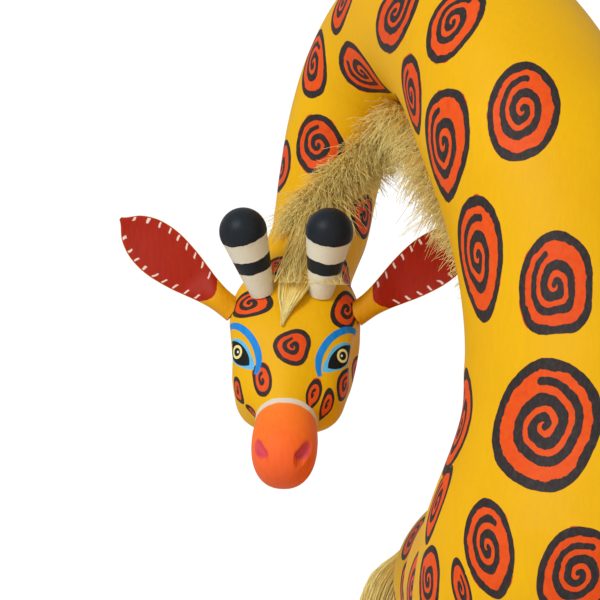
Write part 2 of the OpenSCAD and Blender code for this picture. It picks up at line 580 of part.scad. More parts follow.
// ---------- place on the floor ----------
// Everything is laid out from the middle of the trunk, then moved so that the
// origin lies under the middle of the whole outline, right ear tip to left flank
// and chest to tail.
EAR_TIP = HEAD_O + head_v(ear_o(-1) + ear_d(-1) * (seat_gap + ear_l));
CHEST = [0, chest_y, trunk_z + 0.12 * trunk_h];
flank_x = trunk_w / 2 + 1;
front_y = chest_y - reach(0, CHEST, [0, -1, 0], 0, 120);
back_y = TAIL_P[3].y + 0.42 * tail_d;
MID = [(EAR_TIP.x + flank_x) / 2, (front_y + back_y) / 2, 0];
module home() translate(-MID) children();

trunk();
neck_lower();
neck_arch();
neck_upper();
head();
ear_left();
ear_right();
horn_left();
horn_right();
leg_front_left();
leg_front_right();
leg_back_left();
leg_back_right();
dowel_leg_fl();
dowel_leg_fr();
dowel_leg_bl();
dowel_leg_br();
dowel_neck_base();
dowel_neck_rise();
dowel_neck_fall();
dowel_head();
tail();
tail_tuft();
tuft_binding();
mane_lower();
mane_arch();
mane_upper();
forelock();
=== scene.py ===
# Painted carved giraffe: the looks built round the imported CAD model. Tables are in millimetres.
import math
import bmesh
import bpy
import numpy as np
from mathutils import Matrix, Vector


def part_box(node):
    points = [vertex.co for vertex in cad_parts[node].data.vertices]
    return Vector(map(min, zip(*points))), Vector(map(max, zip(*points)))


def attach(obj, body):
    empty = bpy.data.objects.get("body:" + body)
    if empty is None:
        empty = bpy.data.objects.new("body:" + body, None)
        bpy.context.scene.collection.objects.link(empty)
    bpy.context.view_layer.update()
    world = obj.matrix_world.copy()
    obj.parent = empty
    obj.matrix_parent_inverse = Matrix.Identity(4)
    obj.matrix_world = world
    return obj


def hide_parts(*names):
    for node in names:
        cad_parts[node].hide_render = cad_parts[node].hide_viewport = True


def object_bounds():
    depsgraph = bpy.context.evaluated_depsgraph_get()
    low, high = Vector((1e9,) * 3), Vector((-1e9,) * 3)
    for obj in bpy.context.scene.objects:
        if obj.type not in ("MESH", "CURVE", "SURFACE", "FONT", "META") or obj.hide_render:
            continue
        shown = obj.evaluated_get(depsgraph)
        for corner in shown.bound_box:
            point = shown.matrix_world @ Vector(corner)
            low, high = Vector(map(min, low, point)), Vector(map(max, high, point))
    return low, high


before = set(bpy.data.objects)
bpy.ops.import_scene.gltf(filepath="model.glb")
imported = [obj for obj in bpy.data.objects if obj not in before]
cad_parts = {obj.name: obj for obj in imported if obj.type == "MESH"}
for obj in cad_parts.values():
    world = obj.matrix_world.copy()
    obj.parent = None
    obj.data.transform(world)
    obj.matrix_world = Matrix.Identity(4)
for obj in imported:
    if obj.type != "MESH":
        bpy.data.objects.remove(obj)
CAD_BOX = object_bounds()
MM = 0.001
SEED = 7

# ---------- sizes, as in the CAD model
TW, TH, TL, CW = 95.0, 84.0, 158.0, 90.0
LEG_H, LEG_TOP, LEG_ANK, HOOF_D, HOOF_H = 147.0, 29.0, 13.5, 21.0, 15.0
ST_W, ST_L, SPLAY = 54.0, 98.0, 8.0
NB, NA, NE, RISE, REACH, BACKW = 71.4, 48.0, 26.8, 134.0, 72.0, 86.0
HW, HH, MW = 36.0, 29.0, 18.0
PITCH, YAW, ROLL = 55.0, 4.5, 2.0
HORN_L, HORN_TD, HORN_BD, HORN_GAP, HORN_SPLAY, HORN_LEAN = 25.0, 13.2, 7.2, 12.8, 11.0, 4.0
EAR_L, EAR_W, EAR_RISE, DISH, STALK = 40.0, 14.8, 37.0, 1.6, 6.2
TAIL_D0, TAIL_REACH, TUFT_L, TUFT_D = 11.0, 36.5, 44.0, 19.0
SEAT = 0.4
TZ = LEG_H + 2 + TH / 2
CHY = -0.316 * TL
CHZ = TZ + 0.3 * TH

# middle of the four leg seats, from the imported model: the trunk's own centre
_seats = [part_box(n) for n in ("dowel_leg_fl", "dowel_leg_fr", "dowel_leg_bl", "dowel_leg_br")]
HOME = np.array([np.mean([(a[i] + b[i]) / 2 for a, b in _seats]) for i in (0, 1)] + [0.0]) / MM


def A(*v):
    return np.array(v, float)


def unit(v):
    v = np.asarray(v, float)
    return v / np.maximum(np.linalg.norm(v, axis=-1, keepdims=True), 1e-12)


def smooth(t):
    u = np.clip(t, 0, 1)
    return u * u * (3 - 2 * u)


def curve(P, t):
    P = np.asarray(P, float)
    t = np.asarray(t, float)
    n = len(P) - 1
    c = np.clip(t, 0, n - 1e-4)
    i = np.floor(c).astype(int)
    u = c - i
    a, b, d, e = P[np.maximum(i - 1, 0)], P[i], P[i + 1], P[np.minimum(i + 2, n)]
    if P.ndim == 2:
        u = u[..., None]
    cubic = (2 * a - 5 * b + 4 * d - e) * u**2 + (3 * b - a - 3 * d + e) * u**3
    return 0.5 * (2 * b + (d - a) * u + cubic)


# ---------- carved forms
def blend(a, b, k):
    h = np.maximum(k - np.abs(a - b), 0) / k
    return np.minimum(a, b) - h * h * k / 4


def carve(a, b, k):
    return -blend(-a, b, k)


def egg(p, c, r):
    """Distance to an ellipsoid's skin, good near it."""
    q = (p - np.array(c)) / np.array(r)
    m = np.linalg.norm(q, axis=-1)
    g = np.linalg.norm(q / np.array(r), axis=-1)
    return np.where(g < 1e-6, -min(r), m * (m - 1) / np.maximum(g, 1e-9))


def block(p, c, r, e):
    q = np.abs(p - np.array(c)) / np.array(r)
    return ((q**e).sum(-1) ** (1 / e) - 1) * min(r)


def rod(p, a, b, ra, rb):
    a, b = np.array(a, float), np.array(b, float)
    d = b - a
    h = np.clip((p - a) @ d / (d @ d), 0, 1)
    return np.linalg.norm(p - a - h[..., None] * d, axis=-1) - (ra + (rb - ra) * h)


# the neck's middle line in shares of its reach, its back reach and its rise, and where it faces
NECK = np.array([[0, 0, 0], [0, 0.005, 0.19], [0.005, 0.02, 0.33], [0.05, 0.05, 0.48],
                 [0.125, 0.1, 0.63], [0.225, 0.2, 0.77], [0.35, 0.37, 0.91], [0.505, 0.6, 0.99],
                 [0.665, 0.81, 0.98], [0.8, 0.95, 0.9], [0.89, 1.01, 0.79], [0.94, 1.01, 0.68],
                 [0.98, 0.96, 0.565], [1.06, 0.86, 0.455]])
NECK_P = NECK * A(-REACH, BACKW, RISE) + A(0, CHY, CHZ)
TAPER = [1.34, 1, 0.81, 0.65, 0.54, 0.44, 0.26, 0, -0.32, -0.6, -0.79, -0.9, -0.96, -1]
NECK_R = np.array([(NA + (NB - NA if t >= 0 else NA - NE) * t) / 2 for t in TAPER])
BACK = np.array([[-0.2, 1, 0], [-0.25, 1, 0], [-0.35, 0.95, 0], [-0.5, 0.88, 0], [-0.57, 0.82, 0],
                 [-0.57, 0.82, -0.3], [-0.45, 0.6, -0.6], [-0.1, 0.1, -1], [0.3, -0.6, -0.75],
                 [0.6, -0.75, -0.3], [0.55, -0.85, 0], [0.15, -1, 0], [-0.4, -0.92, 0], [-0.3, -0.95, 0]])
T_BASE, T_RISE, T_FALL, T_HEAD = 1.0, 5.0, 9.5, 12.25


def neck_c(t):
    return curve(NECK_P, t)


def neck_r(t):
    return curve(NECK_R, t)


def neck_t(t):
    t = np.asarray(t, float)
    return unit(neck_c(np.minimum(t + 0.02, 12.99)) - neck_c(t - 0.02))


def neck_n(t):
    d, a = curve(BACK, t), neck_t(t)
    return unit(d - (d * a).sum(-1, keepdims=True) * a)


N0, N1 = neck_c(0.0), neck_c(T_BASE)


def trunk_depth(p):
    q = p.copy()
    q[..., 0] = np.abs(q[..., 0])
    barrel = egg(p, [0, 0.03 * TL, TZ], [TW / 2, 0.475 * TL, TH / 2])
    chest = egg(p, [0, CHY, TZ + 0.12 * TH], [CW / 2, 0.225 * TL, 0.52 * TH])
    neck = rod(p, N0, N0 + 1.6 * (N1 - N0), NB / 2 + 2.4, NB / 2 - 3.2)
    rump = egg(q, [0.24 * TW, 0.29 * TL, TZ - 0.1 * TH], [0.235 * TW, 0.17 * TL, 0.4 * TH])
    front, rear = (rod(q, [ST_W / 2, y, TZ], [ST_W / 2, y, LEG_H - 6], k * LEG_TOP, LEG_TOP / 2 - 0.4)
                   for y, k in ((-ST_L / 2, 0.62), (ST_L / 2, 0.7)))
    body = blend(blend(blend(barrel, chest, 16), neck, 14), rump, 12)
    return blend(body, blend(front, rear, 3), 9)


def turned(v, ax, deg):
    m = np.array(Matrix.Rotation(math.radians(deg), 3, ax))
    return np.asarray(v, float) @ m.T


def head_v(v):
    return turned(turned(turned(v, "X", PITCH), "Z", -YAW), "Y", ROLL)


HEAD_O = neck_c(13.0)
HEAD_M = np.array([head_v(e) for e in np.eye(3)])  # rows: the head's own axes


def from_head(p):
    return HEAD_O + np.asarray(p, float) @ HEAD_M


def to_head(p):
    return (np.asarray(p, float) - HEAD_O) @ HEAD_M.T


HN = to_head(neck_c(T_HEAD))


def head_depth(p):
    skull = block(p, [0, -16.5, 0], [18.2, 17.5, 14.8], 2.9)
    face = block(p, [0, -30.8, -1.5], [15.7, 15, 11], 3)
    bridge = rod(p, [0, -26, 3], [0, -50, 1.2], 10, 7.2)
    nose = block(p, [0, -53.5, 0.2], [9, 12.6, 9], 2.3)
    neck = rod(p, [0, 0, 0], 1.5 * HN, NE / 2, NE / 2 + 0.1)
    q = p.copy()
    q[..., 0] = np.abs(q[..., 0])
    socket = egg(q, [21.6, -26, 0.5], [5.6, 9, 10])
    skull = blend(blend(blend(skull, face, 5), bridge, 3), nose, 1.6)
    return carve(blend(skull, neck, 5), socket, 2.5)


NOSTRILS = []


def reach(depth, o, d, far):
    """How far along d from o, inside the form, its skin is, found by halving."""
    o = np.broadcast_to(o, d.shape)
    lo, hi = np.zeros(d.shape[:-1]), np.full(d.shape[:-1], float(far))
    for _ in range(34):
        mid = (lo + hi) / 2
        out = depth(o + d * mid[..., None]) > 0
        hi = np.where(out, mid, hi)
        lo = np.where(out, lo, mid)
    return (lo + hi) / 2


for _s in (-1, 1):
    _a = A(_s * 0.29 * MW, -58.3, 0.12 * HH)
    _d = unit(A(_s * 0.28, -0.3, 0.9))
    _o = _a + _d * (reach(head_depth, _a, _d[None], 30)[0] - 0.45)
    _e = unit(A(_s * 0.52, 0.84, -0.1))
    NOSTRILS.append((_o, unit(_e - (_e @ _d) * _d)))


def nostril_far(p):
    return np.minimum(*(rod(p, o - 1.9 * f, o + 1.9 * f, 1.55, 1.4) for o, f in NOSTRILS))


def head_carved(p):
    return carve(head_depth(p), nostril_far(p), 0.9)


# ---------- mesh helpers
def place(me, body, stands_for):
    """Puts a mesh in the scene, riding body in place of the CAD node stands_for."""
    me.polygons.foreach_set("use_smooth", np.ones(len(me.polygons), bool))
    ob = bpy.data.objects.new(me.name, me)
    bpy.context.scene.collection.objects.link(ob)
    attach(ob, body)
    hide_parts(*stands_for)
    return ob


def new_mesh(name, verts, faces, body, stands_for):
    me = bpy.data.meshes.new(name)
    me.from_pydata([tuple(v) for v in (np.asarray(verts) + HOME) * MM], [],
                   [tuple(int(i) for i in f) for f in faces])
    me.validate()
    bm = bmesh.new()
    bm.from_mesh(me)
    if bm.calc_volume(signed=True) < 0:
        bmesh.ops.reverse_faces(bm, faces=bm.faces[:])
        bm.to_mesh(me)
    bm.free()
    me.update()
    return place(me, body, stands_for)


def mark(ob, name, values):
    """Stores a number or a triple for each vertex, for the shaders."""
    values = np.asarray(values, np.float32)
    if values.ndim == 1:
        values = np.repeat(values[:, None], 3, 1)
    ob.data.attributes.new(name, "FLOAT_VECTOR", "POINT").data.foreach_set("vector", values.ravel())


def read(items, key, width=1, kind=float):
    out = np.zeros(len(items) * width, kind)
    items.foreach_get(key, out)
    return out.reshape(-1, width) if width > 1 else out


def grid_faces(m, n, flip=False):
    i, j = (q.ravel() for q in np.meshgrid(np.arange(m - 1), np.arange(n), indexing="ij"))
    k = (j + 1) % n
    f = np.stack([i * n + j, i * n + k, (i + 1) * n + k, (i + 1) * n + j], 1)
    return [tuple(q) for q in (f[:, ::-1] if flip else f)]


def tube_mesh(rings, flip=False):
    """rings (m, n, 3) to vertices and faces, with a fan over each end."""
    m, n = rings.shape[:2]
    v = np.vstack([rings.reshape(-1, 3), rings[0], rings[-1], rings[0].mean(0), rings[-1].mean(0)])
    faces = grid_faces(m, n, flip)
    a, b, c = m * n, m * n + n, m * n + 2 * n
    for j in range(n):
        k = (j + 1) % n
        f0, f1 = (a + k, a + j, c), (b + j, b + k, c + 1)
        faces += [f0[::-1], f1[::-1]] if flip else [f0, f1]
    return v, faces


def star_skin(depth, o, angles, n, far):
    """Closed skin found by looking outwards from o, poles along -Y and +Y."""
    f = np.arange(n) * 2 * np.pi / n
    t = np.radians(angles)[:, None]
    d = np.stack([np.sin(t) * np.cos(f), -np.cos(t) * np.ones_like(f), np.sin(t) * np.sin(f)], -1)
    pts = o + d * reach(depth, o, d, far)[..., None]
    a, b = (o + p * reach(depth, o, p[None], far)[0] for p in (A(0, -1, 0), A(0, 1, 0)))
    m = len(angles)
    v = np.vstack([pts.reshape(-1, 3), a, b])
    faces = grid_faces(m, n)
    for j in range(n):
        k = (j + 1) % n
        faces.append((m * n, k, j))
        faces.append((m * n + 1, (m - 1) * n + j, (m - 1) * n + k))
    return v, faces


def cut_flat(v, faces, cuts):
    """Cuts a closed mesh by planes (point, outward normal), keeps the inner side, closes each cut."""
    bm = bmesh.new()
    vs = [bm.verts.new(p) for p in v]
    for f in faces:
        bm.faces.new([vs[i] for i in f])
    for co, no in cuts:
        got = bmesh.ops.bisect_plane(bm, geom=bm.verts[:] + bm.edges[:] + bm.faces[:],
                                     plane_co=Vector(co), plane_no=Vector(no),
                                     clear_outer=True, dist=1e-5)
        rim = [e for e in got["geom_cut"] if isinstance(e, bmesh.types.BMEdge)]
        lids = bmesh.ops.edgenet_fill(bm, edges=rim)["faces"]
        for e in rim:
            if e.is_valid:
                e.smooth = False
        if lids:
            bmesh.ops.split(bm, geom=lids)
    bm.verts.index_update()
    v = np.array([p.co[:] for p in bm.verts])
    faces = [tuple(p.index for p in f.verts) for f in bm.faces]
    bm.free()
    return v, faces


# ---------- painted spots
# Listed where they show, then filled in. Place on the statue (from the trunk's own centre line,
# floor up), half width, half height, tilt in degrees, tail of a drop.
COLUMN = [
    (-16, -80, 242, 14.5, 16.5, 0, 0), (-13, -77, 277, 9.8, 13.4, 0, 0.03),
    (-20, -64, 321, 9.4, 14.0, 0, 0), (-39, -51, 313, 10, 14.6, 0, 0.03),
    (-31, -61, 284, 9.5, 15.8, -6, 0.03), (-37, -44, 345, 8.2, 11.5, 8, 0),
    (-51, -24, 350, 9.5, 12, 25, 0), (-30, -79, 212, 7.4, 12.6, -14, 0.1),
    (-9, -89, 207, 10, 12, 30, 0), (-35, -54, 241, 7.5, 14.2, 0, 0.05),
    (-41, -58, 221, 4.8, 10.6, 4, 0.1), (-43, -61, 202, 6, 9, -6, 0),
    (-37, -74, 201, 3.3, 7.5, -14, 0.1), (-44, 37, 204, 6, 7, 0, 0), (-46, 30, 190, 6.5, 8, 0, 0),
    (-59, 6, 336, 7.8, 10.2, -35, 0.3), (-72, 23, 340, 7.2, 10, 8, 0),
    (-64, 9, 356, 6.5, 9, 20, 0), (-71, 23, 317, 7.4, 8.6, 12, 0.05),
    (-81, 34, 311, 6, 7.6, 0, 0), (-49, -36, 327, 6.5, 10.5, -12, 0),
    (-58, 27, 297, 5.6, 6.4, 0, 0), (-63, 16, 280, 5, 6.3, 0, 0.1), (14, -78, 262, 9, 12, 0, 0),
    (13, -60, 300, 9, 14, 0, 0),
]
# on the head, in its own axes (left, back, crown)
FACE = [
    (1.2, -30, 13.2, 5.2, 5.2, 0, 0), (-6.9, -38.5, 9.2, 2.9, 5.2, -8, 0.15),
    (7.5, -42, 7.8, 2.2, 4.8, 4, 0.5), (11.3, -43, 4.2, 2.1, 4.9, -24, 0.2),
    (15.5, -35, 2.8, 4, 5.2, 0, 0.1), (-13.6, -38.8, 3.6, 2.4, 4.2, 0, 0.1),
    (-9.9, -45.2, 2.4, 1.3, 2.8, 8, 0.2), (-12, -16, 13.2, 7.0, 4.6, 10, 0),
    (15, -15.6, 11, 4.4, 7.2, 20, 0), (-5.6, -3, 13, 3.2, 3.6, 0, 0),
    (15.5, -23, -8, 4.6, 4.6, 0, 0), (-15.5, -23, -8, 4.6, 4.6, 0, 0),
    (0, -14, -14, 5.4, 5, 0, 0), (7, -33, -12, 4.2, 4.6, 0, 0), (-7, -34, -12, 4, 4.6, 0, 0),
    (-16, -13, 2, 4, 4.6, 0, 0), (16, -11, -2, 4, 4.6, 0, 0),
]
rng = np.random.default_rng(SEED)


class Spot:
    def __init__(s, at, normal, up, a, b, tilt=0.0, tail=0.0, zone="wood"):
        n = unit(normal)
        u = unit(up - (up @ n) * n)
        r = np.cross(u, n)
        c, d = math.cos(math.radians(tilt)), math.sin(math.radians(tilt))
        s.at, s.n, s.v, s.u = np.asarray(at, float), n, u * c + r * d, r * c - u * d
        s.a, s.b, s.tail, s.zone = a, b, tail, zone
        s.half = math.sqrt(a * b)
        s.seed = rng.random()
        s.hand = 1 if rng.random() < 0.85 else -1
        s.spin = -s.hand * math.pi / 2 + rng.normal() * 0.5
        s.lobe = [(k, rng.normal() * w, rng.random() * 2 * math.pi)
                  for k, w in ((2, 0.028), (3, 0.03), (4, 0.018), (5, 0.012))]

    def size(s):
        return max(s.a, s.b)

    def local(s, p):
        """(x, y) on the spot, turned as its spiral is, and how far out p is, 1 at the edge."""
        d = p - s.at
        w = d @ s.n
        x, y = d @ s.u, d @ s.v
        flat = np.maximum(np.hypot(x, y), 1e-9)
        k = np.sqrt(flat**2 + 0.8 * w**2) / flat
        x, y = x * k / s.a, y * k / s.b
        th = np.arctan2(y, x)
        grow = 1 + sum(w_ * np.cos(k_ * th + f) for k_, w_, f in s.lobe)
        down = np.clip(-np.sin(th), 0, 1)
        grow = grow - s.tail * 0.55 * down**2 * (np.abs(np.cos(th)) * 1.6) + s.tail * 0.25 * down**8
        x, y = x / grow, y / grow
        c, d2 = math.cos(s.spin), math.sin(s.spin)
        return (x * c - y * d2) * s.hand, x * d2 + y * c, np.hypot(x, y)


def lookup(v, faces):
    """Centres and normals of faces, to snap spots to."""
    f = np.array([q[:3] for q in faces])
    p = v[f]
    n = np.cross(p[:, 1] - p[:, 0], p[:, 2] - p[:, 0])
    n *= np.sign((p.mean(1) * n).sum() - (v.mean(0) * n).sum())
    big = np.linalg.norm(n, axis=1) > 1e-9
    return p.mean(1)[big], unit(n[big])


# ---------- shader helper: sums written as sums
class E:
    nt = None

    def __init__(s, sock):
        s.s = sock

    @staticmethod
    def math(op, *args, clamp=False):
        n = E.nt.nodes.new("ShaderNodeMath")
        n.operation = op
        n.use_clamp = clamp
        for i, a in enumerate(args):
            if isinstance(a, E):
                E.nt.links.new(a.s, n.inputs[i])
            else:
                n.inputs[i].default_value = float(a)
        return E(n.outputs[0])

    def __add__(s, o): return E.math("ADD", s, o)
    __radd__ = __add__
    def __sub__(s, o): return E.math("SUBTRACT", s, o)
    def __rsub__(s, o): return E.math("SUBTRACT", o, s)
    def __mul__(s, o): return E.math("MULTIPLY", s, o)
    __rmul__ = __mul__
    def __truediv__(s, o): return E.math("DIVIDE", s, o)
    def __rtruediv__(s, o): return E.math("DIVIDE", o, s)
    def __gt__(s, o): return E.math("GREATER_THAN", s, o)


def mn(a, b): return E.math("MINIMUM", a, b)
def mx(a, b): return E.math("MAXIMUM", a, b)
def ab(a): return E.math("ABSOLUTE", a)
def hyp(a, b): return E.math("SQRT", a * a + b * b)
def edge(d, w): return E.math("ADD", E.math("DIVIDE", d, w), 0.5, clamp=True)  # 0 below, 1 above


def noise(vec, scale, detail=2.0, rough=0.5):
    n = E.nt.nodes.new("ShaderNodeTexNoise")
    n.inputs["Scale"].default_value = scale
    n.inputs["Detail"].default_value = detail
    n.inputs["Roughness"].default_value = rough
    E.nt.links.new(vec, n.inputs["Vector"])
    return E(n.outputs[0])


def srgb(r, g, b):
    def f(c):
        c = c / 255
        return c / 12.92 if c <= 0.04045 else ((c + 0.055) / 1.055) ** 2.4
    return (f(r), f(g), f(b), 1.0)


def rgb(r, g, b):
    n = E.nt.nodes.new("ShaderNodeRGB")
    n.outputs[0].default_value = srgb(r, g, b)
    return n.outputs[0]


def mix(fac, a, b):
    n = E.nt.nodes.new("ShaderNodeMix")
    n.data_type = "RGBA"
    if isinstance(fac, E):
        E.nt.links.new(fac.s, n.inputs[0])
    else:
        n.inputs[0].default_value = fac
    E.nt.links.new(a, n.inputs[6])
    E.nt.links.new(b, n.inputs[7])
    return n.outputs[2]


def shades(fac, *cols):
    """Colour ramp over fac, evenly spaced sRGB colours."""
    n = E.nt.nodes.new("ShaderNodeValToRGB")
    while len(n.color_ramp.elements) < len(cols):
        n.color_ramp.elements.new(0.5)
    for i, c in enumerate(cols):
        n.color_ramp.elements[i].position = i / (len(cols) - 1)
        n.color_ramp.elements[i].color = srgb(*c)
    E.nt.links.new(fac.s, n.inputs[0])
    return n.outputs[0]


def attr(name):
    n = E.nt.nodes.new("ShaderNodeAttribute")
    n.attribute_name = name
    sep = E.nt.nodes.new("ShaderNodeSeparateXYZ")
    E.nt.links.new(n.outputs["Vector"], sep.inputs[0])
    return [E(q) for q in (*sep.outputs[:3], n.outputs["Alpha"])]


def coords(k=1.0, stretch=(1, 1, 1)):
    """Object coordinates in millimetres times k."""
    n = E.nt.nodes.new("ShaderNodeTexCoord")
    m = E.nt.nodes.new("ShaderNodeMapping")
    m.inputs["Scale"].default_value = tuple(1000 * k * s for s in stretch)
    E.nt.links.new(n.outputs["Object"], m.inputs[0])
    return m.outputs[0]


def material(name):
    m = bpy.data.materials.new(name)
    m.use_nodes = True
    E.nt = m.node_tree
    p = m.node_tree.nodes["Principled BSDF"]
    return m, p


def finish_paint(p, colour, height, rough, bump=0.35, dist=0.0004):
    E.nt.links.new(colour, p.inputs["Base Color"])
    E.nt.links.new(rough.s, p.inputs["Roughness"])
    b = E.nt.nodes.new("ShaderNodeBump")
    b.inputs["Strength"].default_value = bump
    b.inputs["Distance"].default_value = dist
    E.nt.links.new(height.s, b.inputs["Height"])
    E.nt.links.new(b.outputs[0], p.inputs["Normal"])
    p.inputs["Specular IOR Level"].default_value = 0.16


def grain():
    """Brush streaks and fine tooth of hand-laid acrylic on carved wood: (slow blotch, streak, fine)."""
    slow = noise(coords(1), 0.035, 3, 0.55)
    streak = noise(coords(1, (1.0, 1.0, 0.16)), 0.9, 3, 0.6)
    fine = noise(coords(1), 2.6, 2, 0.6)
    return slow, streak, fine


def spot_paint(base):
    """Lays charcoal-ringed orange spots with their spirals over base: colour, the paint's thickness."""
    x, y, half, seed = attr("spot")
    calm = mn(half / 9, 1)
    wob = (noise(coords(1), 0.3, 2, 0.5) - 0.5) * calm
    wob2 = (noise(coords(1), 0.8, 2, 0.55) - 0.5) * calm
    rho = hyp(x, y)
    f = E.math("FRACT", E.math("ARCTAN2", y, x) / (2 * math.pi) + 1)
    line = (0.68 + half * 0.122) / half
    ring = line * (1 + wob * 0.6)
    out = rho + (wob * 0.6 + wob2 * 0.2) / half
    stroke = (0.5 + half * 0.135) / half
    gap = (0.62 + half * 0.05) / half
    r0 = mx(1 - line - gap - stroke * 0.42, 0.2)
    pitch = stroke + gap * (0.55 + 0.5 * mn(mx((half - 4) / 8, 0), 1) + seed * 0.2)
    turns = mx(r0 / pitch - 0.1, 0.6)
    rw = rho + (wob * 1.1 + wob2 * 0.45) / half
    d = None
    for k in range(4):
        at = (f + k) / turns
        c = r0 - pitch * (f + k)
        far = ab(rw - c) - stroke * (0.36 + 0.76 * at * (1 - at)) + (at > 1) * 9
        d = far if d is None else mn(d, far)
    d = mn(d, hyp(x - r0, y) - stroke * 0.37)
    tt = turns * (2 * math.pi)
    re = r0 - pitch * turns
    d = mn(d, hyp(x - re * E.math("COSINE", tt), y - re * E.math("SINE", tt)) - stroke * 0.36)
    soft = 0.14 / half
    inside = edge(1 - out, soft)
    dark = mx(edge(out - (1 - ring), soft), edge(0 - d, soft)) * inside
    fringe = edge(1 + 0.25 / half - out, soft) * edge(noise(coords(1), 0.16, 1, 0.5) - 0.62, 0.04)
    tone = noise(coords(1), 0.55, 3, 0.6) * 0.6 + seed * 0.2 + 0.1
    orange = shades(tone, (202, 54, 8), (224, 72, 12), (238, 88, 22), (244, 104, 34))
    coal = noise(coords(1, (1, 1, 0.5)), 1.1, 3, 0.65)
    coal = shades(coal, (27, 22, 24), (50, 43, 42), (74, 66, 64))
    col = mix(mx(inside, fringe), base, orange)
    return mix(dark, col, coal), dark * 0.5 + inside * 0.3


def yellow(slow, streak):
    tone = slow * 0.62 + streak * 0.38
    return shades(tone, (214, 150, 0), (232, 172, 0), (240, 182, 0), (246, 192, 2))


def painted_wood(name, extra=None):
    m, p = material(name)
    slow, streak, fine = grain()
    col, thick = spot_paint(yellow(slow, streak))
    if extra:
        col, thick = extra(col, thick, streak, fine)
    finish_paint(p, col, thick + streak * 0.55 + fine * 0.22, 0.42 + streak * 0.16 + slow * 0.06)
    return m


# ---------- shapes of the painted wood
def field_radius(depth, at, axis_x, axis_y, ang, far):
    d = np.cos(ang)[:, None] * axis_x + np.sin(ang)[:, None] * axis_y
    return reach(depth, at, d, far)


def head_field(p):
    return head_depth(to_head(p))


def neck_rings(a, b, m, n):
    ang = np.arange(n) * 2 * np.pi / n
    out = []
    for t in np.linspace(a, b, m):
        c, n_ = neck_c(t), neck_n(t)
        s_ = np.cross(neck_t(t), n_)
        r = np.full(n, float(neck_r(t)))
        k1 = 1 - smooth((t - T_BASE) / 0.9)
        k2 = smooth((t - (T_HEAD - 0.45)) / 0.45)
        if k1 > 0:
            near = t < T_BASE + 0.35
            r = r + k1 * (field_radius(trunk_depth, c, n_, s_, ang, 70) - r if near else base_off(ang))
        if k2 > 0:
            r = r + k2 * (field_radius(head_field, c, n_, s_, ang, 30) - r)
        out.append(c + r[:, None] * (np.cos(ang)[:, None] * n_ + np.sin(ang)[:, None] * s_))
    return np.array(out)


_off = {}


def base_off(ang):
    """How far the trunk's skin stands outside the neck's round at the seat, carried a little way up."""
    if "r" not in _off:
        t = T_BASE + 0.35
        n_ = neck_n(t)
        skin = field_radius(trunk_depth, neck_c(t), n_, np.cross(neck_t(t), n_), ang, 70)
        _off["r"] = skin - float(neck_r(t))
    return _off["r"]


# down the leg: height, thickness, how far forward the front and the back leg bow
LEG = np.array([[1, 1, 0, 0], [0.93, 0.97, 0, 0.2], [0.82, 0.8, 0.05, 0.35], [0.7, 0.52, 0.1, 0.1],
                [0.6, 0.32, 0.1, -0.5], [0.52, 0.34, 0.3, -0.9], [0.46, 0.28, 0.15, -0.8],
                [0.36, 0.1, 0, -0.5], [0.24, 0, 0, -0.2], [0.15, 0.02, 0, 0]])


def leg_rings(sx, sy, n=72):
    ank, hoof = LEG_ANK / 2, HOOF_D / 2
    rows = []
    for u in np.linspace(0, len(LEG) - 1, 90):
        k = curve(LEG, u)
        h = k[0] * LEG_H
        if h > HOOF_H + 1.5:
            thick = (LEG_ANK + (LEG_TOP - LEG_ANK) * k[1]) / 2
            rows.append([min(h, LEG_H), thick, 7 * (k[2] if sy < 0 else k[3])])
    rows += [[HOOF_H + h, ank + r, 0] for h, r in ((0.4, 0.1), (-0.1, 0.45), (-0.6, 1.2), (-1.2, 1.7))]
    rows += [[HOOF_H * h, HOOF_D * r, 0] for h, r in ((0.75, 0.405), (0.5, 0.45), (0.25, 0.482))]
    rows += [[h, hoof - r, 0] for h, r in ((1.3, 0.05), (0.7, 0.12), (0.25, 0.4), (0.0, 0.9))]
    ang = -np.arange(n) * 2 * np.pi / n
    seat = A(sx * ST_W / 2, sy * ST_L / 2, LEG_H + 0.01)
    top = field_radius(trunk_depth, seat, A(1, 0, 0), A(0, 1, 0), ang, 24)
    out = []
    for h, r, fwd in rows:
        t = 1 - h / LEG_H
        c = A(sx * (ST_W / 2 + SPLAY * t), sy * (ST_L / 2 + SPLAY * 0.6 * t) - fwd, h)
        ring = c + np.stack([r * np.cos(ang), r * 1.06 * np.sin(ang), 0 * ang], 1)
        # the top 13 mm swells to meet the trunk's leg seat
        k = 1 - smooth((LEG_H - h) / 13)
        if k > 0:
            own = np.hypot(r * np.cos(ang), r * 1.06 * np.sin(ang))
            want = np.minimum(top, own + 5)
            way = np.stack([np.cos(ang), np.sin(ang), 0 * ang], 1)
            ring = c + (own + k * (want - own))[:, None] * way
            ring[:, 2] = h
        out.append(ring)
    return np.array(out)


WOOD = {}  # name: (vertices, faces, body, CAD node)
_v, _f = star_skin(trunk_depth, A(0, -0.06 * TL, TZ), 180 * np.arange(1, 190) / 190, 280, 190)
_v, _f = cut_flat(_v, _f, [(N1, neck_t(T_BASE)), ((0, 0, LEG_H), (0, 0, -1))])
WOOD["body_trunk"] = (_v, _f, "statue", "trunk")
for _name, _node, _a, _b, _m in (("neck_rising", "neck_lower", T_BASE, T_RISE, 150),
                                 ("neck_over", "neck_arch", T_RISE, T_FALL, 150),
                                 ("neck_hanging", "neck_upper", T_FALL, T_HEAD, 90)):
    WOOD[_name] = (*tube_mesh(neck_rings(_a, _b, _m, 224)), "statue", _node)
_v, _f = star_skin(head_carved, A(0, -22, 0), 180 * (np.arange(1, 240) / 240) ** 1.25, 260, 80)
_v, _f = cut_flat(from_head(_v), _f, [(neck_c(T_HEAD), -neck_t(T_HEAD))])
WOOD["head_carving"] = (_v, _f, "statue", "head")
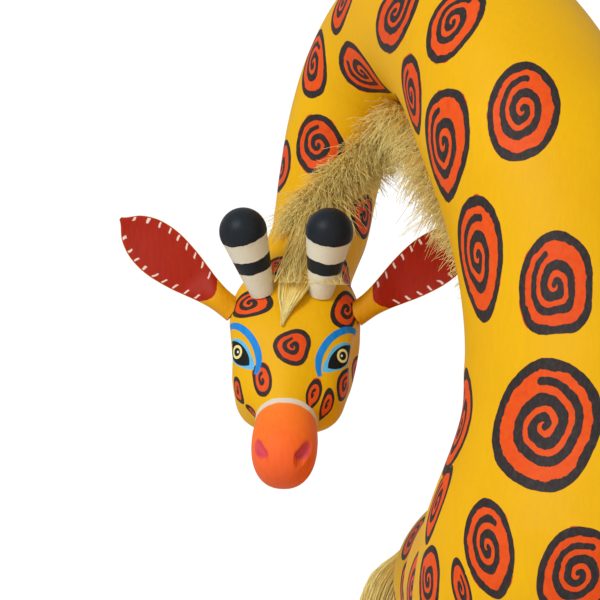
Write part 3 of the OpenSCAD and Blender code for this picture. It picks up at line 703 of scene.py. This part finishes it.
LIMBS = [(f"{end}_{hand}", sx, sy) for end, sy in (("front", -1), ("back", 1))
         for hand, sx in (("left", 1), ("right", -1))]
for _name, _sx, _sy in LIMBS:
    WOOD["limb_" + _name] = (*tube_mesh(leg_rings(_sx, _sy)), "statue", "leg_" + _name)

# tail rod
TAIL_D = unit(A(-0.12, 0.95, 0.28))
TAIL_IN = A(0, 0.3 * TL, TZ + 0.16 * TH)
TAIL_O = TAIL_IN + TAIL_D * reach(trunk_depth, TAIL_IN, TAIL_D[None], 120)[0]
TAIL_P = TAIL_O + TAIL_D * SEAT + TAIL_REACH * np.array(
    [[0, 0, 0], [-0.035, 0.22, 0.06], [-0.17, 0.46, 0.08], [-0.42, 0.6, 0.02], [-0.7, 0.6, -0.11],
     [-0.94, 0.52, -0.34]])
TAIL_END = curve(TAIL_P, 5.0)
TAIL_T = unit(TAIL_END - curve(TAIL_P, 4.8))


def sweep(points, tangents, radii, n=48, ref=(0.2, 0.1, 1)):
    a = np.arange(n) * 2 * np.pi / n
    out = []
    for c, t, r in zip(points, tangents, radii):
        s1 = unit(np.cross(t, A(*ref)))
        s2 = np.cross(t, s1)
        out.append(c + r * (np.cos(a)[:, None] * s1 + np.sin(a)[:, None] * s2))
    return np.array(out)


_u = np.linspace(0, 5, 70)
_pts = curve(TAIL_P, _u)
_tan = unit(np.gradient(_pts, axis=0))
_tan[0], _tan[-1] = TAIL_D, TAIL_T
_rad = TAIL_D0 / 2 + (6 - TAIL_D0) / 2 * _u / 5
WOOD["tail_rod"] = (*tube_mesh(sweep(_pts, _tan, _rad)), "tail", "tail")

# ---------- choose the spots
centres = {k: lookup(w[0], w[1]) for k, w in WOOD.items()}


def snap(p, names):
    best = None
    for k in names:
        c, n = centres[k]
        d = np.linalg.norm(c - p, axis=1)
        i = d.argmin()
        if best is None or d[i] < best[0]:
            best = (d[i], c[i], n[i])
    return best[1], best[2]


spots = []
for x, y, z, a, b, tilt, tail in COLUMN:
    at, nor = snap(A(x, y, z), [k for k in WOOD if "limb" not in k and k != "tail_rod"])
    spots.append(Spot(at, nor, A(0, 0, 1), a, b, tilt, tail))
for x, y, z, a, b, tilt, tail in FACE:
    at, nor = snap(from_head(A(x, y, z)), ["head_carving"])
    spots.append(Spot(at, nor, HEAD_M[1], a, b, tilt, tail, "face"))
_pool, _nor, _own = [], [], []
for k in WOOD:
    if k in ("head_carving", "tail_rod"):
        continue
    c, n = centres[k]
    pick = rng.choice(len(c), size=1500 if "limb" not in k else 500, replace=False)
    _pool.append(c[pick])
    _nor.append(n[pick])
    _own += [k] * len(pick)
_pool, _nor = np.vstack(_pool), np.vstack(_nor)
_order = rng.permutation(len(_pool))
EAR_FACE = A(0, -math.cos(math.radians(PITCH)), math.sin(math.radians(PITCH)))
_t = np.linspace(T_BASE, T_HEAD, 300)
_line = neck_c(_t) + neck_n(_t) * neck_r(_t)[:, None]  # the mane's groove
FILL = {"body_trunk": 11.5, "neck_rising": 11.0, "neck_over": 9.0, "neck_hanging": 6.6}


def fill_size(p, nn, own):
    """Half size of a filled-in spot at p, or None where there is none."""
    if "limb" in own:
        return 4.6 + 4.0 * (p[2] - 24) / 123 if 24 <= p[2] <= LEG_H - 6 else None
    hand_placed = nn[1] < 0.1 and p[0] < 8 and p[2] > 205
    if hand_placed or own == "body_trunk" and p[2] < LEG_H + 1:
        return None
    if own.startswith("neck") and np.linalg.norm(_line - p, axis=1).min() < 9:
        return None
    return FILL[own]


for scale in (1.0, 0.8, 0.55):
    for i in _order:
        p, nn = _pool[i], _nor[i]
        base = fill_size(p, nn, _own[i])
        if base is None:
            continue
        h = base * scale * (0.82 + 0.36 * rng.random())
        if all(np.linalg.norm(p - s.at) > (h + s.size()) * 1.06 + 1.6 for s in spots):
            long = 1.1 + 0.3 * rng.random()
            up = A(0, 0, 1) if abs(nn[2]) < 0.9 else A(0, 1, 0)
            a, b = h / math.sqrt(long), h * math.sqrt(long)
            spots.append(Spot(p, nn, up, a, b, rng.normal() * 14, 0.25 * rng.random() ** 2))
_tail_c, _tail_n = centres["tail_rod"]
for u in (0.9, 2.1, 3.2, 4.3):
    c = curve(TAIL_P, u)
    i = np.linalg.norm(_tail_c - (c + A(0.3, 1, 0.6) * 3), axis=1).argmin()
    spots.append(Spot(_tail_c[i], _tail_n[i], A(0, 0, 1), 2.3, 3.0, 0, 0, "tail"))


def lay_spots(ob, own):
    """Writes each face's nearest spot on its corners: x, y on it, its half size in mm, its seed."""
    me = ob.data
    co = read(me.vertices, "co", 3) / MM - HOME
    mid = read(me.polygons, "center", 3) / MM - HOME
    nor = read(me.polygons, "normal", 3)
    lo, hi = co.min(0), co.max(0)
    use = [s for s in spots if (s.at > lo - s.size() * 2).all() and (s.at < hi + s.size() * 2).all()
           and ((s.zone == "tail") == (own == "tail_rod"))]
    best = np.full(len(mid), 1e9)
    who = np.zeros(len(mid), int)
    for i, s in enumerate(use):
        near = np.linalg.norm(mid - s.at, axis=1) < s.size() * 2.4
        if not near.any():
            continue
        rho = s.local(mid[near])[2]
        rho = np.where(nor[near] @ s.n < -0.1, 1e8, rho)
        idx = np.where(near)[0]
        win = rho < best[idx]
        best[idx[win]] = rho[win]
        who[idx[win]] = i
    loops = read(me.loops, "vertex_index", kind=int)
    total = read(me.polygons, "loop_total", kind=int)
    face_of = np.repeat(np.arange(len(total)), total)
    data = np.zeros((len(loops), 4), np.float32)
    data[:, :3] = (3, 0, 5)
    for i, s in enumerate(use):
        sel = np.where((who[face_of] == i) & (best[face_of] < 2.2))[0]
        if len(sel):
            x, y, _ = s.local(co[loops[sel]])
            data[sel] = np.stack([x, y, np.full_like(x, s.half), np.full_like(x, s.seed)], 1)
    at = me.attributes.new("spot", "FLOAT_COLOR", "CORNER")
    at.data.foreach_set("color", data.ravel())


# ---------- the face's own paint
EYE_AT = A(14, -29.8, 9)
EYE_N, EYE_U = unit(A(0.724, -0.33, 0.604)), unit(A(0.527, 0.83, -0.185))
EYE_V = np.cross(EYE_N, EYE_U)


def face_paint(col, thick, streak, fine):
    _, hy, hz, _ = attr("head")
    u, v, _, _ = attr("eye")
    wob = (noise(coords(1), 0.5, 2, 0.5) - 0.5) * 0.5
    # eye: almond, iris ring and glint
    top, low = hyp(u - 0.25, v + 4.5), hyp(u - 0.25, v - 3.7)
    alm = mx(top, low) - 6.7
    rim = alm - 0.34 - mx(v, 0) * 0.2 - mx(0 - u - 3.5, 0) * 0.36
    blue2 = edge(0 - rim, 0.08)
    black = edge(0 - alm, 0.08)
    iris = hyp(u - 0.75, v + 0.35)
    cream = edge(0.36 - ab(iris - 1.55), 0.14) * black
    glint = edge(0.34 - hyp(u - 0.45, v + 0.1), 0.12) * black
    # brow: an arc that thins towards the nose
    arc = hyp(u - 1.6, v + 5.4)
    ang = E.math("ARCTAN2", v + 5.4, u - 1.6) * (180 / math.pi)
    wide = mn(mx((162 - ang) / 30, 0), 1) * 0.45 + 0.5
    brow = edge(wide - ab(arc - 10.9) + wob * 0.3, 0.08) * edge(ang - 32, 2) * edge(156 - ang, 2)
    col = mix(brow, col, shades(streak, (10, 110, 200), (16, 134, 220), (60, 160, 236)))
    col = mix(blue2, col, shades(streak, (70, 165, 215), (96, 190, 236), (130, 205, 240)))
    col = mix(black, col, shades(fine, (10, 12, 14), (22, 26, 26), (34, 38, 34)))
    col = mix(cream, col, rgb(244, 226, 142))
    col = mix(glint, col, rgb(252, 250, 240))
    # muzzle with its white border
    b = -45.0 - mn(mx(9.0 - hz, 0), 9) * 0.3 + wob * 0.8
    white = edge(b + 0.6 - hy, 0.16)
    orange = edge(b - 0.75 - hy, 0.3)
    tint = E.math("ADD", (0 - hy - 46) / 22 + (streak - 0.5) * 0.6, 0, clamp=True)
    col = mix(white, col, shades(fine, (206, 194, 172), (224, 212, 192), (236, 226, 208)))
    col = mix(orange, col,
              shades(tint, (255, 128, 40), (255, 118, 38), (250, 104, 40), (238, 96, 44)))
    return col, thick + (brow + black + cream * 0.6) * 0.4 + orange * 0.3


def head_extra(col, thick, streak, fine):
    col, thick = face_paint(col, thick, streak, fine)
    n_ = attr("nostril")[0]
    pink = edge(0.32 - n_ + (streak - 0.5) * 0.8, 0.5)
    # deep darkens the red towards the bottom of the carved nostril: painted shade in the hollow; pink is
    # the nostril's own paint
    deep = edge(-0.55 - n_, 0.7)
    col = mix(pink * 0.9, col, rgb(214, 74, 92))
    col = mix(deep * 0.85, col, rgb(172, 34, 66))
    return col, thick


def hoof_extra(col, thick, streak, fine):
    z = E.nt.nodes.new("ShaderNodeTexCoord")
    s = E.nt.nodes.new("ShaderNodeSeparateXYZ")
    E.nt.links.new(z.outputs["Object"], s.inputs[0])
    h = E(s.outputs[2]) * 1000 + (streak - 0.5) * 1.2
    hoof = edge(HOOF_H - 0.4 - h, 0.3)
    col = mix(hoof, col, shades(fine, (24, 20, 22), (44, 38, 38), (62, 54, 52)))
    line = edge(0.7 - ab(h - HOOF_H - 1.6), 0.25)
    col = mix(line, col, shades(fine, (216, 62, 16), (236, 84, 20), (246, 98, 32)))
    return col, thick + hoof * 0.4


mat_body = painted_wood("spotted_yellow_paint")
mat_leg = painted_wood("leg_paint", hoof_extra)
mat_head = painted_wood("head_paint", head_extra)

for name, (v, f, body, node) in WOOD.items():
    ob = new_mesh(name, v, f, body, (node,))
    lay_spots(ob, name)
    paint = mat_head if name == "head_carving" else mat_leg if "limb" in name else mat_body
    ob.data.materials.append(paint)
    if name == "head_carving":
        head = ob

_hp = to_head(np.array([p.co[:] for p in head.data.vertices]) / MM - HOME)
mark(head, "head", _hp)
_q = _hp.copy()
_q[:, 0] = np.abs(_q[:, 0])
_d = _q - EYE_AT
_w = _d @ EYE_N
_x, _y = _d @ EYE_U, _d @ EYE_V
_flat = np.maximum(np.hypot(_x, _y), 1e-9)
_k = np.sqrt(_flat**2 + 0.5 * _w**2) / _flat
_far = _w < -9  # inside the head and beyond: no eye there
mark(head, "eye", np.stack([np.where(_far, 60, q) for q in (_x * _k, _y * _k, 0 * _x)], 1))
mark(head, "nostril", nostril_far(_hp))


# ---------- horns
def horn_d(s):
    out, lean = math.tan(math.radians(HORN_SPLAY)), math.tan(math.radians(HORN_LEAN))
    return unit(A(s * out - lean, 0.43, 0.88))


def root_of(inner, d):
    return inner + d * reach(head_depth, inner, d[None], 30)[0]


def frame_z(d):
    s = unit(np.cross(A(0, 0, 1), d)) if abs(d[2]) < 0.9 else unit(np.cross(A(0, 1, 0), d))
    return s, np.cross(d, s), d


def horn_material():
    m, p = material("horn_paint")
    h = attr("along")[0]
    slow, streak, fine = grain()
    wob = (noise(coords(1), 0.45, 2, 0.5) - 0.5) * 0.9
    hh = h + wob
    cap = edge(hh - 17.2, 0.14)
    band = edge(hh - 7.0, 0.14) * edge(11.2 - hh, 0.14)
    white = shades(streak * 0.7 + fine * 0.3, (214, 206, 180), (228, 222, 198), (238, 232, 212))
    black = shades(fine * 0.5 + slow * 0.5, (20, 24, 30), (30, 37, 43), (48, 56, 62))
    col = mix(mx(cap, band), white, black)
    height = mx(cap, band) * 0.4 + streak * 0.6 + fine * 0.3
    finish_paint(p, col, height, 0.34 + streak * 0.14, 0.4)
    return m


mat_horn = horn_material()
for s, nm in ((1, "left"), (-1, "right")):
    d = horn_d(s)
    o = root_of(A(s * HORN_GAP / 2, -16, 0.2 * HH), d) + d * SEAT
    r, b, c = HORN_TD / 2, HORN_BD / 2, HORN_L - HORN_TD / 2
    prof = [(b - 0.25, -1.2), (b, 0.0)]
    a0 = math.radians(-18)
    p1 = (r * math.cos(a0), c + r * math.sin(a0))
    prof += [(b + (p1[0] - b) * t, p1[1] * t) for t in np.linspace(0.03, 1, 46)]
    prof += [(r * math.cos(a), c + r * math.sin(a)) for a in np.radians(np.linspace(-16, 89.5, 60))]
    prof = np.array(prof)
    X, Y, Z = frame_z(d)
    ang = np.arange(96) * 2 * np.pi / 96
    rings = np.array([o + rr * (np.cos(ang)[:, None] * X + np.sin(ang)[:, None] * Y) + hh * Z
                      for rr, hh in prof])
    v, f = tube_mesh(from_head(rings.reshape(-1, 3)).reshape(rings.shape))
    ob = new_mesh("horn_club_" + nm, v, f, "horn_" + nm, ("horn_" + nm,))
    mark(ob, "along", (to_head(v) - o) @ Z)
    ob.data.materials.append(mat_horn)

# ---------- ears
EAR = np.array([0.46, 0.47, 0.56, 0.7, 0.84, 0.94, 1, 0.98, 0.86, 0.58, 0.07])


def ear_ring(t, n=40):
    w = curve(EAR, np.array(10 * t)) * EAR_W / 2
    k = smooth((t - 0.06) / 0.3)
    q = w / (EAR_W / 2)
    b = STALK / 2 + (2.5 * q + 0.2 - STALK / 2) * k
    f = STALK / 2 + (0.8 - DISH * q - STALK / 2) * k
    bow = 2.4 * math.sin(math.pi * t)
    pts, sidev = [], []
    for i in range(n + 1):
        a = math.pi * i / n
        pts.append((EAR_L * t, w * math.cos(a), bow - b * math.sin(a)))
        sidev.append((t, math.cos(a), -1.0))
    for i in range(1, n):
        a = math.pi + math.pi * i / n
        e = abs(math.cos(a))
        lift = f * math.sqrt(1 - e * e) + k * 0.9 * e**3 * (1 - e)
        pts.append((EAR_L * t, w * math.cos(a), bow + lift))
        sidev.append((t, math.cos(a), 1.0))
    return np.array(pts), np.array(sidev)


def ear_material():
    m, p = material("ear_paint")
    t, c, face, _ = attr("ear")
    slow, streak, fine = grain()
    wob = noise(coords(1), 0.5, 2, 0.5) - 0.5
    wide = attr("earw")[0]
    # distance in mm from the outline of the leaf, inwards
    rimd = (1 - ab(c)) * wide
    start = edge(t * EAR_L - 5.6 - ab(c) * ab(c) * 2.4 + wob * 0.8, 0.2)
    inner = edge(face, 0.2)
    red = inner * start * edge(rimd - 0.12 + wob * 0.1, 0.15)
    back = mix(0.5, yellow(slow, streak), shades(streak, (196, 96, 6), (222, 130, 4), (232, 150, 4)))
    redc = shades(streak * 0.6 + slow * 0.4, (132, 16, 2), (166, 32, 6), (182, 42, 10))
    col = mix(red, back, redc)
    # white stitches along the border
    count = t * EAR_L / 3.3 + rimd * 0.1 + noise(coords(1), 0.3, 1, 0.5) * 0.5 + (c > 0) * 0.37
    fr = E.math("FRACT", count)
    dash = edge(0.085 - ab(fr - 0.5), 0.04) * edge(rimd - 0.4, 0.15) * edge(1.9 - rimd + wob * 1.3, 0.3)
    dash = dash * edge(t * EAR_L - 8.5, 0.5)
    white = shades(fine, (226, 190, 170), (240, 216, 200), (250, 238, 226))
    col = mix(dash * red * edge(EAR_L - 2.0 - t * EAR_L, 0.5), col, white)
    height = red * 0.3 + dash * red * 0.5 + streak * 0.6 + fine * 0.3
    finish_paint(p, col, height, 0.4 + streak * 0.14)
    return m


mat_ear = ear_material()
for s, nm in ((1, "left"), (-1, "right")):
    a = math.radians(EAR_RISE)
    pz, pc = math.sin(math.radians(PITCH)), math.cos(math.radians(PITCH))
    d = unit(A(s * math.cos(a), math.sin(a) * pz, math.sin(a) * pc))
    o = root_of(A(s * 0.26 * HW, -18.6, 0.1 * HH), d) + d * SEAT
    side = np.cross(EAR_FACE, d)
    rings, marks, widths = [], [], []
    for t in np.concatenate([np.linspace(-0.035, 0.96, 110), np.linspace(0.965, 1.0, 14)]):
        pts, mk = ear_ring(max(t, 0.0))
        pts[:, 0] = EAR_L * t
        rings.append(o + pts[:, :1] * d + pts[:, 1:2] * side + pts[:, 2:] * EAR_FACE)
        marks.append(mk)
        half = curve(EAR, np.array(10 * max(t, 0.0))) * EAR_W / 2
        widths.append(np.full((len(pts), 3), half))
    rings = np.array(rings)
    v, f = tube_mesh(from_head(rings.reshape(-1, 3)).reshape(rings.shape), flip=True)
    ob = new_mesh("ear_leaf_" + nm, v, f, "ear_" + nm, ("ear_" + nm,))
    for key, arr in (("ear", np.array(marks)), ("earw", np.array(widths))):
        mark(ob, key, np.vstack([arr.reshape(-1, 3), arr[0], arr[-1], arr[0][:1], arr[-1][:1]]))
    ob.data.materials.append(mat_ear)

# ---------- fibre
_ts = np.linspace(0.3, 12.99, 900)
_tc, _tr = neck_c(_ts), neck_r(_ts)


def push_out(p, lift):
    """Moves points that lie in the neck out to its surface."""
    flat = p.reshape(-1, 3)
    out = flat.copy()
    lift = np.broadcast_to(lift, p.shape[:-1]).reshape(-1)
    for i in range(0, len(flat), 20000):
        q = flat[i:i + 20000]
        d2 = ((q**2).sum(1)[:, None] - 2 * q @ _tc.T + (_tc**2).sum(1)) ** 0.5 - _tr
        j = d2.argmin(1)
        near = d2[np.arange(len(q)), j]
        need = np.maximum(lift[i:i + 20000] - near, 0)
        out[i:i + 20000] = q + unit(q - _tc[j]) * need[:, None]
    return out.reshape(p.shape)


def push_head(p, lift):
    """Keeps points outside the skull, by stepping along the depth's own slope."""
    flat = to_head(p.reshape(-1, 3))
    for _ in range(4):
        d = head_depth(flat)
        need = lift - d
        todo = need > 0.02
        if not todo.any():
            break
        q = flat[todo]
        g = np.stack([head_depth(q + e) - head_depth(q - e) for e in np.eye(3) * 0.2], 1)
        flat[todo] = q + unit(g) * need[todo][:, None]
    return from_head(flat).reshape(p.shape)


def strands(name, pts, radius, tone, body, node):
    """pts (k, m, 3): k thin tapered three-sided fibres of m points. tone (k,): 0 pale, 1 brown."""
    k, m = pts.shape[:2]
    t = unit(np.gradient(pts, axis=1))
    ref = unit(rng.normal(size=(k, 1, 3)))
    s1 = unit(np.cross(t, ref))
    s2 = np.cross(t, s1)
    taper = np.linspace(1, 0.35, m)[None, :, None] * np.asarray(radius)[:, None, None]
    rings = [pts + taper * (math.cos(a) * s1 + math.sin(a) * s2) for a in (0, 2.094, 4.189)]
    v = np.stack(rings, 2).reshape(-1, 3)
    root = np.arange(k) * m * 3
    i = root[:, None, None] + (np.arange(m - 1) * 3)[None, :, None]
    j = np.arange(3)[None, None, :]
    turn = (j + 1) % 3
    q = np.stack([i + j, i + turn, i + 3 + turn, i + 3 + j], -1).reshape(-1, 4)
    e0 = root[:, None] + np.array([2, 1, 0])
    e1 = root[:, None] + (m - 1) * 3 + np.array([0, 1, 2])
    me = bpy.data.meshes.new(name)
    me.vertices.add(len(v))
    me.vertices.foreach_set("co", ((v + HOME) * MM).astype(np.float32).ravel())
    nq, ends = len(q), np.arange(2 * k) * 3
    me.loops.add(nq * 4 + len(ends) * 3)
    me.loops.foreach_set("vertex_index", np.concatenate([q.ravel(), e0.ravel(), e1.ravel()]))
    me.polygons.add(nq + len(ends))
    me.polygons.foreach_set("loop_start", np.concatenate([np.arange(nq) * 4, nq * 4 + ends]))
    me.update(calc_edges=True)
    me.validate()
    ob = place(me, body, (node,))
    parts = (tone[:, None, None], np.linspace(0, 1, m)[None, :, None], rng.random(k)[:, None, None])
    mark(ob, "fibre", np.stack([np.broadcast_to(q, (k, m, 3)) for q in parts], -1).reshape(-1, 3))
    ob.data.materials.append(mat_fibre)


def fibre_material():
    m, p = material("agave_fibre")
    tone, along, rand, _ = attr("fibre")
    # the (0.38 - along) term makes roots browner than tips: painted shade and painted reflection of the
    # yellow paint low in the hair; tone and rand vary it strand by strand
    f = E.math("ADD", tone * 0.75 + (rand - 0.5) * 0.3 + (0.38 - along) * 0.8, 0, clamp=True)
    col = shades(f, (255, 238, 158), (252, 216, 106), (244, 186, 56), (224, 142, 14), (186, 100, 0))
    speck = noise(coords(1), 1.3, 2, 0.6)
    col = mix(E.math("MULTIPLY", speck, 0.2), col, rgb(226, 168, 48))
    finish_paint(p, col, speck, 0.42 + rand * 0.2, 0.2, 0.0001)
    p.inputs["Specular IOR Level"].default_value = 0.2
    return m


mat_fibre = fibre_material()


def mane(name, a, b, count, node, length, fan, lay, droop):
    r = np.random.default_rng(SEED + int(a * 10))
    t = a + (b - a) * r.random(count)
    c, n_, ax, rad = neck_c(t), neck_n(t), neck_t(t), neck_r(t)
    s_ = np.cross(ax, n_)
    off = np.clip(r.normal(size=count) * 0.5, -1, 1)
    ang = off * 2.2 / rad
    out = np.cos(ang)[:, None] * n_ + np.sin(ang)[:, None] * s_
    side = -np.sin(ang)[:, None] * n_ + np.cos(ang)[:, None] * s_
    root = c + out * (rad + 0.1)[:, None]
    # hair stands out of its groove, fanned both ways, in loose tufts, and lies over at the end
    w = (t - a) / (b - a)
    flow, hang = (np.interp(w, [0, 1], q)[:, None] for q in (lay, droop))
    tuft = 0.5 * np.sin(t * 9.1) + 0.5 * np.sin(t * 17.3 + 1.3)
    lean = np.clip(off * 0.8 + 0.42 * r.normal(size=count), -1.25, 1.25) * math.radians(fan)
    on = flow + (0.35 * tuft + 0.22 * r.normal(size=count))[:, None]
    d0 = unit(out * np.cos(lean)[:, None] + side * np.sin(lean)[:, None] + ax * on)
    L = np.interp(w, [0, 1], length) * (0.66 + 0.36 * r.random(count)) * (0.9 + 0.12 * tuft)
    s = np.linspace(0, 1, 8)[None, :, None]
    bend = A(0, 0, -1) * hang + r.normal(size=(count, 3)) * 0.16
    curl = r.normal(size=(count, 3)) * 0.07
    wave = np.sin(s * 6 + r.random((count, 1, 1)) * 6)
    path = d0[:, None] * s + bend[:, None] * s**2 + curl[:, None] * wave
    pts = root[:, None] + L[:, None, None] * path
    lift = np.array([0.1, 0.7, 1, 1, 1, 1, 0.9, 0.8])
    pts = push_out(pts, (0.3 + 1.6 * r.random(count))[:, None] * lift)
    pts = push_head(pts, 0.35)
    tone = np.clip(0.42 + 0.22 * r.normal(size=count) - 0.12 * tuft, 0, 1)
    strands(name, pts, 0.13 + 0.06 * r.random(count), tone, "statue", node)


K = 1.0
for _name, _a, _b, _n, _len, _fan, _lay, _droop in (
        ("lower", T_BASE + 0.2, T_RISE, 4600, (9, 14), 62, (0, 0), (0.2, 0.3)),
        ("arch", T_RISE, T_FALL, 5200, (16, 12), 62, (0, 0), (0.5, 0.2)),
        ("upper", T_FALL, T_HEAD - 0.25, 5200, (11, 11), 56, (0, 0.9), (0.16, 0.3))):
    mane("mane_hair_" + _name, _a, _b, int(_n * K), "mane_" + _name, _len, _fan, _lay, _droop)

# forelock: down the front of the neck stub, between the horns, to a point on the forehead
LOCK_TOP, LOCK_TIP = 0.88 * HN, A(0, -12, 0)
STUB = unit(EAR_FACE - (EAR_FACE @ unit(HN)) * unit(HN))


def lock_at(u):
    u = np.asarray(u, float)[..., None]
    o = LOCK_TOP + (LOCK_TIP - LOCK_TOP) * u
    d = unit(STUB + (EAR_FACE - STUB) * smooth(1.4 * u))
    return o, d


def forelock(count):
    r = np.random.default_rng(SEED + 99)
    m = 10
    u0 = -0.75 + 1.3 * r.random(count)
    u1 = np.minimum(u0 + 0.5 + 0.7 * r.random(count), 0.62 + 0.46 * r.random(count) ** 0.6)
    fly = r.random(count) < 0.1
    u1 = np.where(fly, np.minimum(u1, 0.55), u1)
    x0 = np.clip(r.normal(size=count) * 2.9, -6, 6)
    side = np.sign(x0)
    h0 = 0.2 + 3.4 * r.random(count)
    s = np.linspace(0, 1, m)
    u = u0[:, None] + (u1 - u0)[:, None] * s
    o, d = lock_at(u)
    deep = reach(head_depth, o.reshape(-1, 3), d.reshape(-1, 3), 40).reshape(u.shape)
    taper = 1 - 0.97 * smooth((u - 0.25) / 0.85)
    wave = np.sin(s * 4 + r.random((count, 1)) * 6)
    x = x0[:, None] * np.maximum(taper, 0.02) + 0.6 * wave * (0.4 + fly[:, None] * 3.0) * s
    x = x - 0.6 - u * 1.4 + (fly & (side > 0))[:, None] * s**2 * 9
    h = h0[:, None] * (1 - 0.75 * smooth((u - 0.6) / 0.4)) + 0.3 + fly[:, None] * s * 5
    pts = o + d * (deep + h)[..., None]
    pts[..., 0] += x
    pts = push_head(from_head(pts), 0.25)
    # strands lying close to the forehead (small h0) get a browner tone: painted shade under the lock,
    # with random variation
    tone = np.clip(0.5 - 0.1 * h0 + 0.18 * r.normal(size=count), 0, 1)
    strands("forelock_hair", pts, 0.12 + 0.06 * r.random(count), tone, "statue", "forelock")


forelock(int(2600 * K))

# tail tuft and its binding
TUFT_DN = unit(A(-0.1, 0.06, -1))


def tuft(count):
    r = np.random.default_rng(SEED + 5)
    m = 10
    a = r.random(count) * 2 * np.pi
    q = np.sqrt(r.random(count))
    s1 = unit(np.cross(TAIL_T, A(0.2, 0.1, 1)))
    s2 = np.cross(TAIL_T, s1)
    ring = np.cos(a)[:, None] * s1 + np.sin(a)[:, None] * s2
    L = 0.62 + 0.4 * r.random(count)
    u = np.linspace(0, 1, m)[None, :] * L[:, None]
    c = (TAIL_END + TAIL_T * (SEAT + TUFT_L * u * (1 - 0.55 * u))[..., None]
         + TUFT_DN * (TUFT_L * 0.72 * u * u)[..., None])
    rad = 4.0 + (TUFT_D - 8.0) / 2 * smooth((u - 0.1) / 0.4) - TUFT_D * 0.22 * smooth((u - 0.62) / 0.38)
    pts = (c + ring[:, None] * (rad * q[:, None] * 0.96)[..., None]
           + r.normal(size=(count, 1, 3)) * (0.8 * u**2)[..., None])
    # strands deep in the bundle (small q) get a browner tone: painted shade inside the tuft, with random
    # variation
    tone = np.clip(0.75 - 0.6 * q + 0.14 * r.normal(size=count), 0, 1)
    strands("tail_tuft_hair", pts, 0.13 + 0.07 * r.random(count), tone, "tail", "tail_tuft")


tuft(int(4200 * K))


def binding():
    m, p = material("waxed_thread")
    along = attr("wind")[0]
    ply = E.math("SINE", along)
    tone = noise(coords(1), 1.4, 2, 0.5)
    f = E.math("ADD", ply * 0.25 + tone * 0.6 + 0.1, 0, clamp=True)
    col = shades(f, (92, 62, 28), (132, 96, 50), (164, 126, 74))
    finish_paint(p, col, ply * 0.5 + tone, 0.5 + tone * 0.2, 0.6, 0.0002)
    turns, n, pitch = 3.2, 260, 0.98
    a = np.linspace(0, turns * 2 * np.pi, n)
    Z = TAIL_T
    X = unit(np.cross(Z, A(0, 0, 1)))
    Y = np.cross(Z, X)
    o = TAIL_END + TAIL_T * (SEAT + 2.4)
    r = 4.0 + 0.15 + 0.5  # tuft, gap, half the thread
    pts = (o + r * (np.cos(a)[:, None] * X + np.sin(a)[:, None] * Y)
           + ((a / (2 * np.pi) - turns / 2) * pitch)[:, None] * Z)
    rings = sweep(pts, unit(np.gradient(pts, axis=0)), np.full(n, 0.5), 12, tuple(Z))
    v, f = tube_mesh(rings)
    ob = new_mesh("tuft_thread", v, f, "tail", ("tuft_binding",))
    q = np.repeat(np.arange(n), 12) * 1.1 + np.tile(np.arange(12), n) * 0.52
    mark(ob, "wind", np.concatenate([q, np.zeros(len(v) - len(q))]))
    ob.data.materials.append(m)


binding()

# ---------- dowels stay CAD, in bare wood
mat_wood, _p = material("bare_wood")
_st = noise(coords(1, (1, 1, 0.1)), 1.2, 3, 0.6)
finish_paint(_p, shades(_st, (176, 138, 90), (203, 168, 120), (220, 190, 146)), _st, 0.55 + _st * 0.2)
for nm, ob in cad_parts.items():
    if nm.startswith("dowel"):
        ob.data.materials.clear()
        ob.data.materials.append(mat_wood)

# ---------- floor, light, camera
mat_floor, _p = material("studio_floor")
_n = noise(coords(0.02), 1.0, 2, 0.5)
E.nt.links.new(shades(_n, (236, 236, 236), (242, 242, 242)), _p.inputs["Base Color"])
_p.inputs["Roughness"].default_value = 0.85
bpy.ops.mesh.primitive_circle_add(vertices=96, radius=1.25, fill_type="NGON",
                                  location=(0, 0, float(CAD_BOX[0][2]) - 0.0002))
floor = bpy.context.object
floor.name = "studio_floor"
floor.data.materials.append(mat_floor)

world = bpy.data.worlds.new("studio")
bpy.context.scene.world = world
world.use_nodes = True
nt = world.node_tree
bg = nt.nodes["Background"]  # dimmer as a light than as the backdrop
bg.inputs[0].default_value = (1, 1, 1, 1)
lp = nt.nodes.new("ShaderNodeLightPath")
mp = nt.nodes.new("ShaderNodeMapRange")
mp.inputs["To Min"].default_value = 0.52
mp.inputs["To Max"].default_value = 1.05
nt.links.new(lp.outputs["Is Camera Ray"], mp.inputs["Value"])
nt.links.new(mp.outputs[0], bg.inputs[1])


def area(name, at, to, size, power):
    li = bpy.data.lights.new(name, "AREA")
    li.shape = "DISK"
    li.size = size
    li.energy = power
    ob = bpy.data.objects.new(name, li)
    ob.location = at
    ob.rotation_euler = (Vector(to) - Vector(at)).to_track_quat("-Z", "Y").to_euler()
    bpy.context.scene.collection.objects.link(ob)


area("key", (-0.75, -0.95, 0.95), (0, 0, 0.25), 0.6, 9.6)
area("fill", (0.9, -0.9, 0.5), (0, 0, 0.25), 0.9, 1.2)

bpy.context.scene.view_settings.view_transform = "Standard"

mid = (CAD_BOX[0] + CAD_BOX[1]) / 2
cam = bpy.data.objects.new("camera", bpy.data.cameras.new("camera"))
cam.data.lens = 163.6
cam.data.sensor_width = 36
cam.location = (mid[0] - 0.037, mid[1] - 0.7535, CAD_BOX[0][2] + 0.273)
cam.rotation_euler = (math.radians(90), 0, 0)
bpy.context.scene.collection.objects.link(cam)
bpy.context.scene.camera = cam
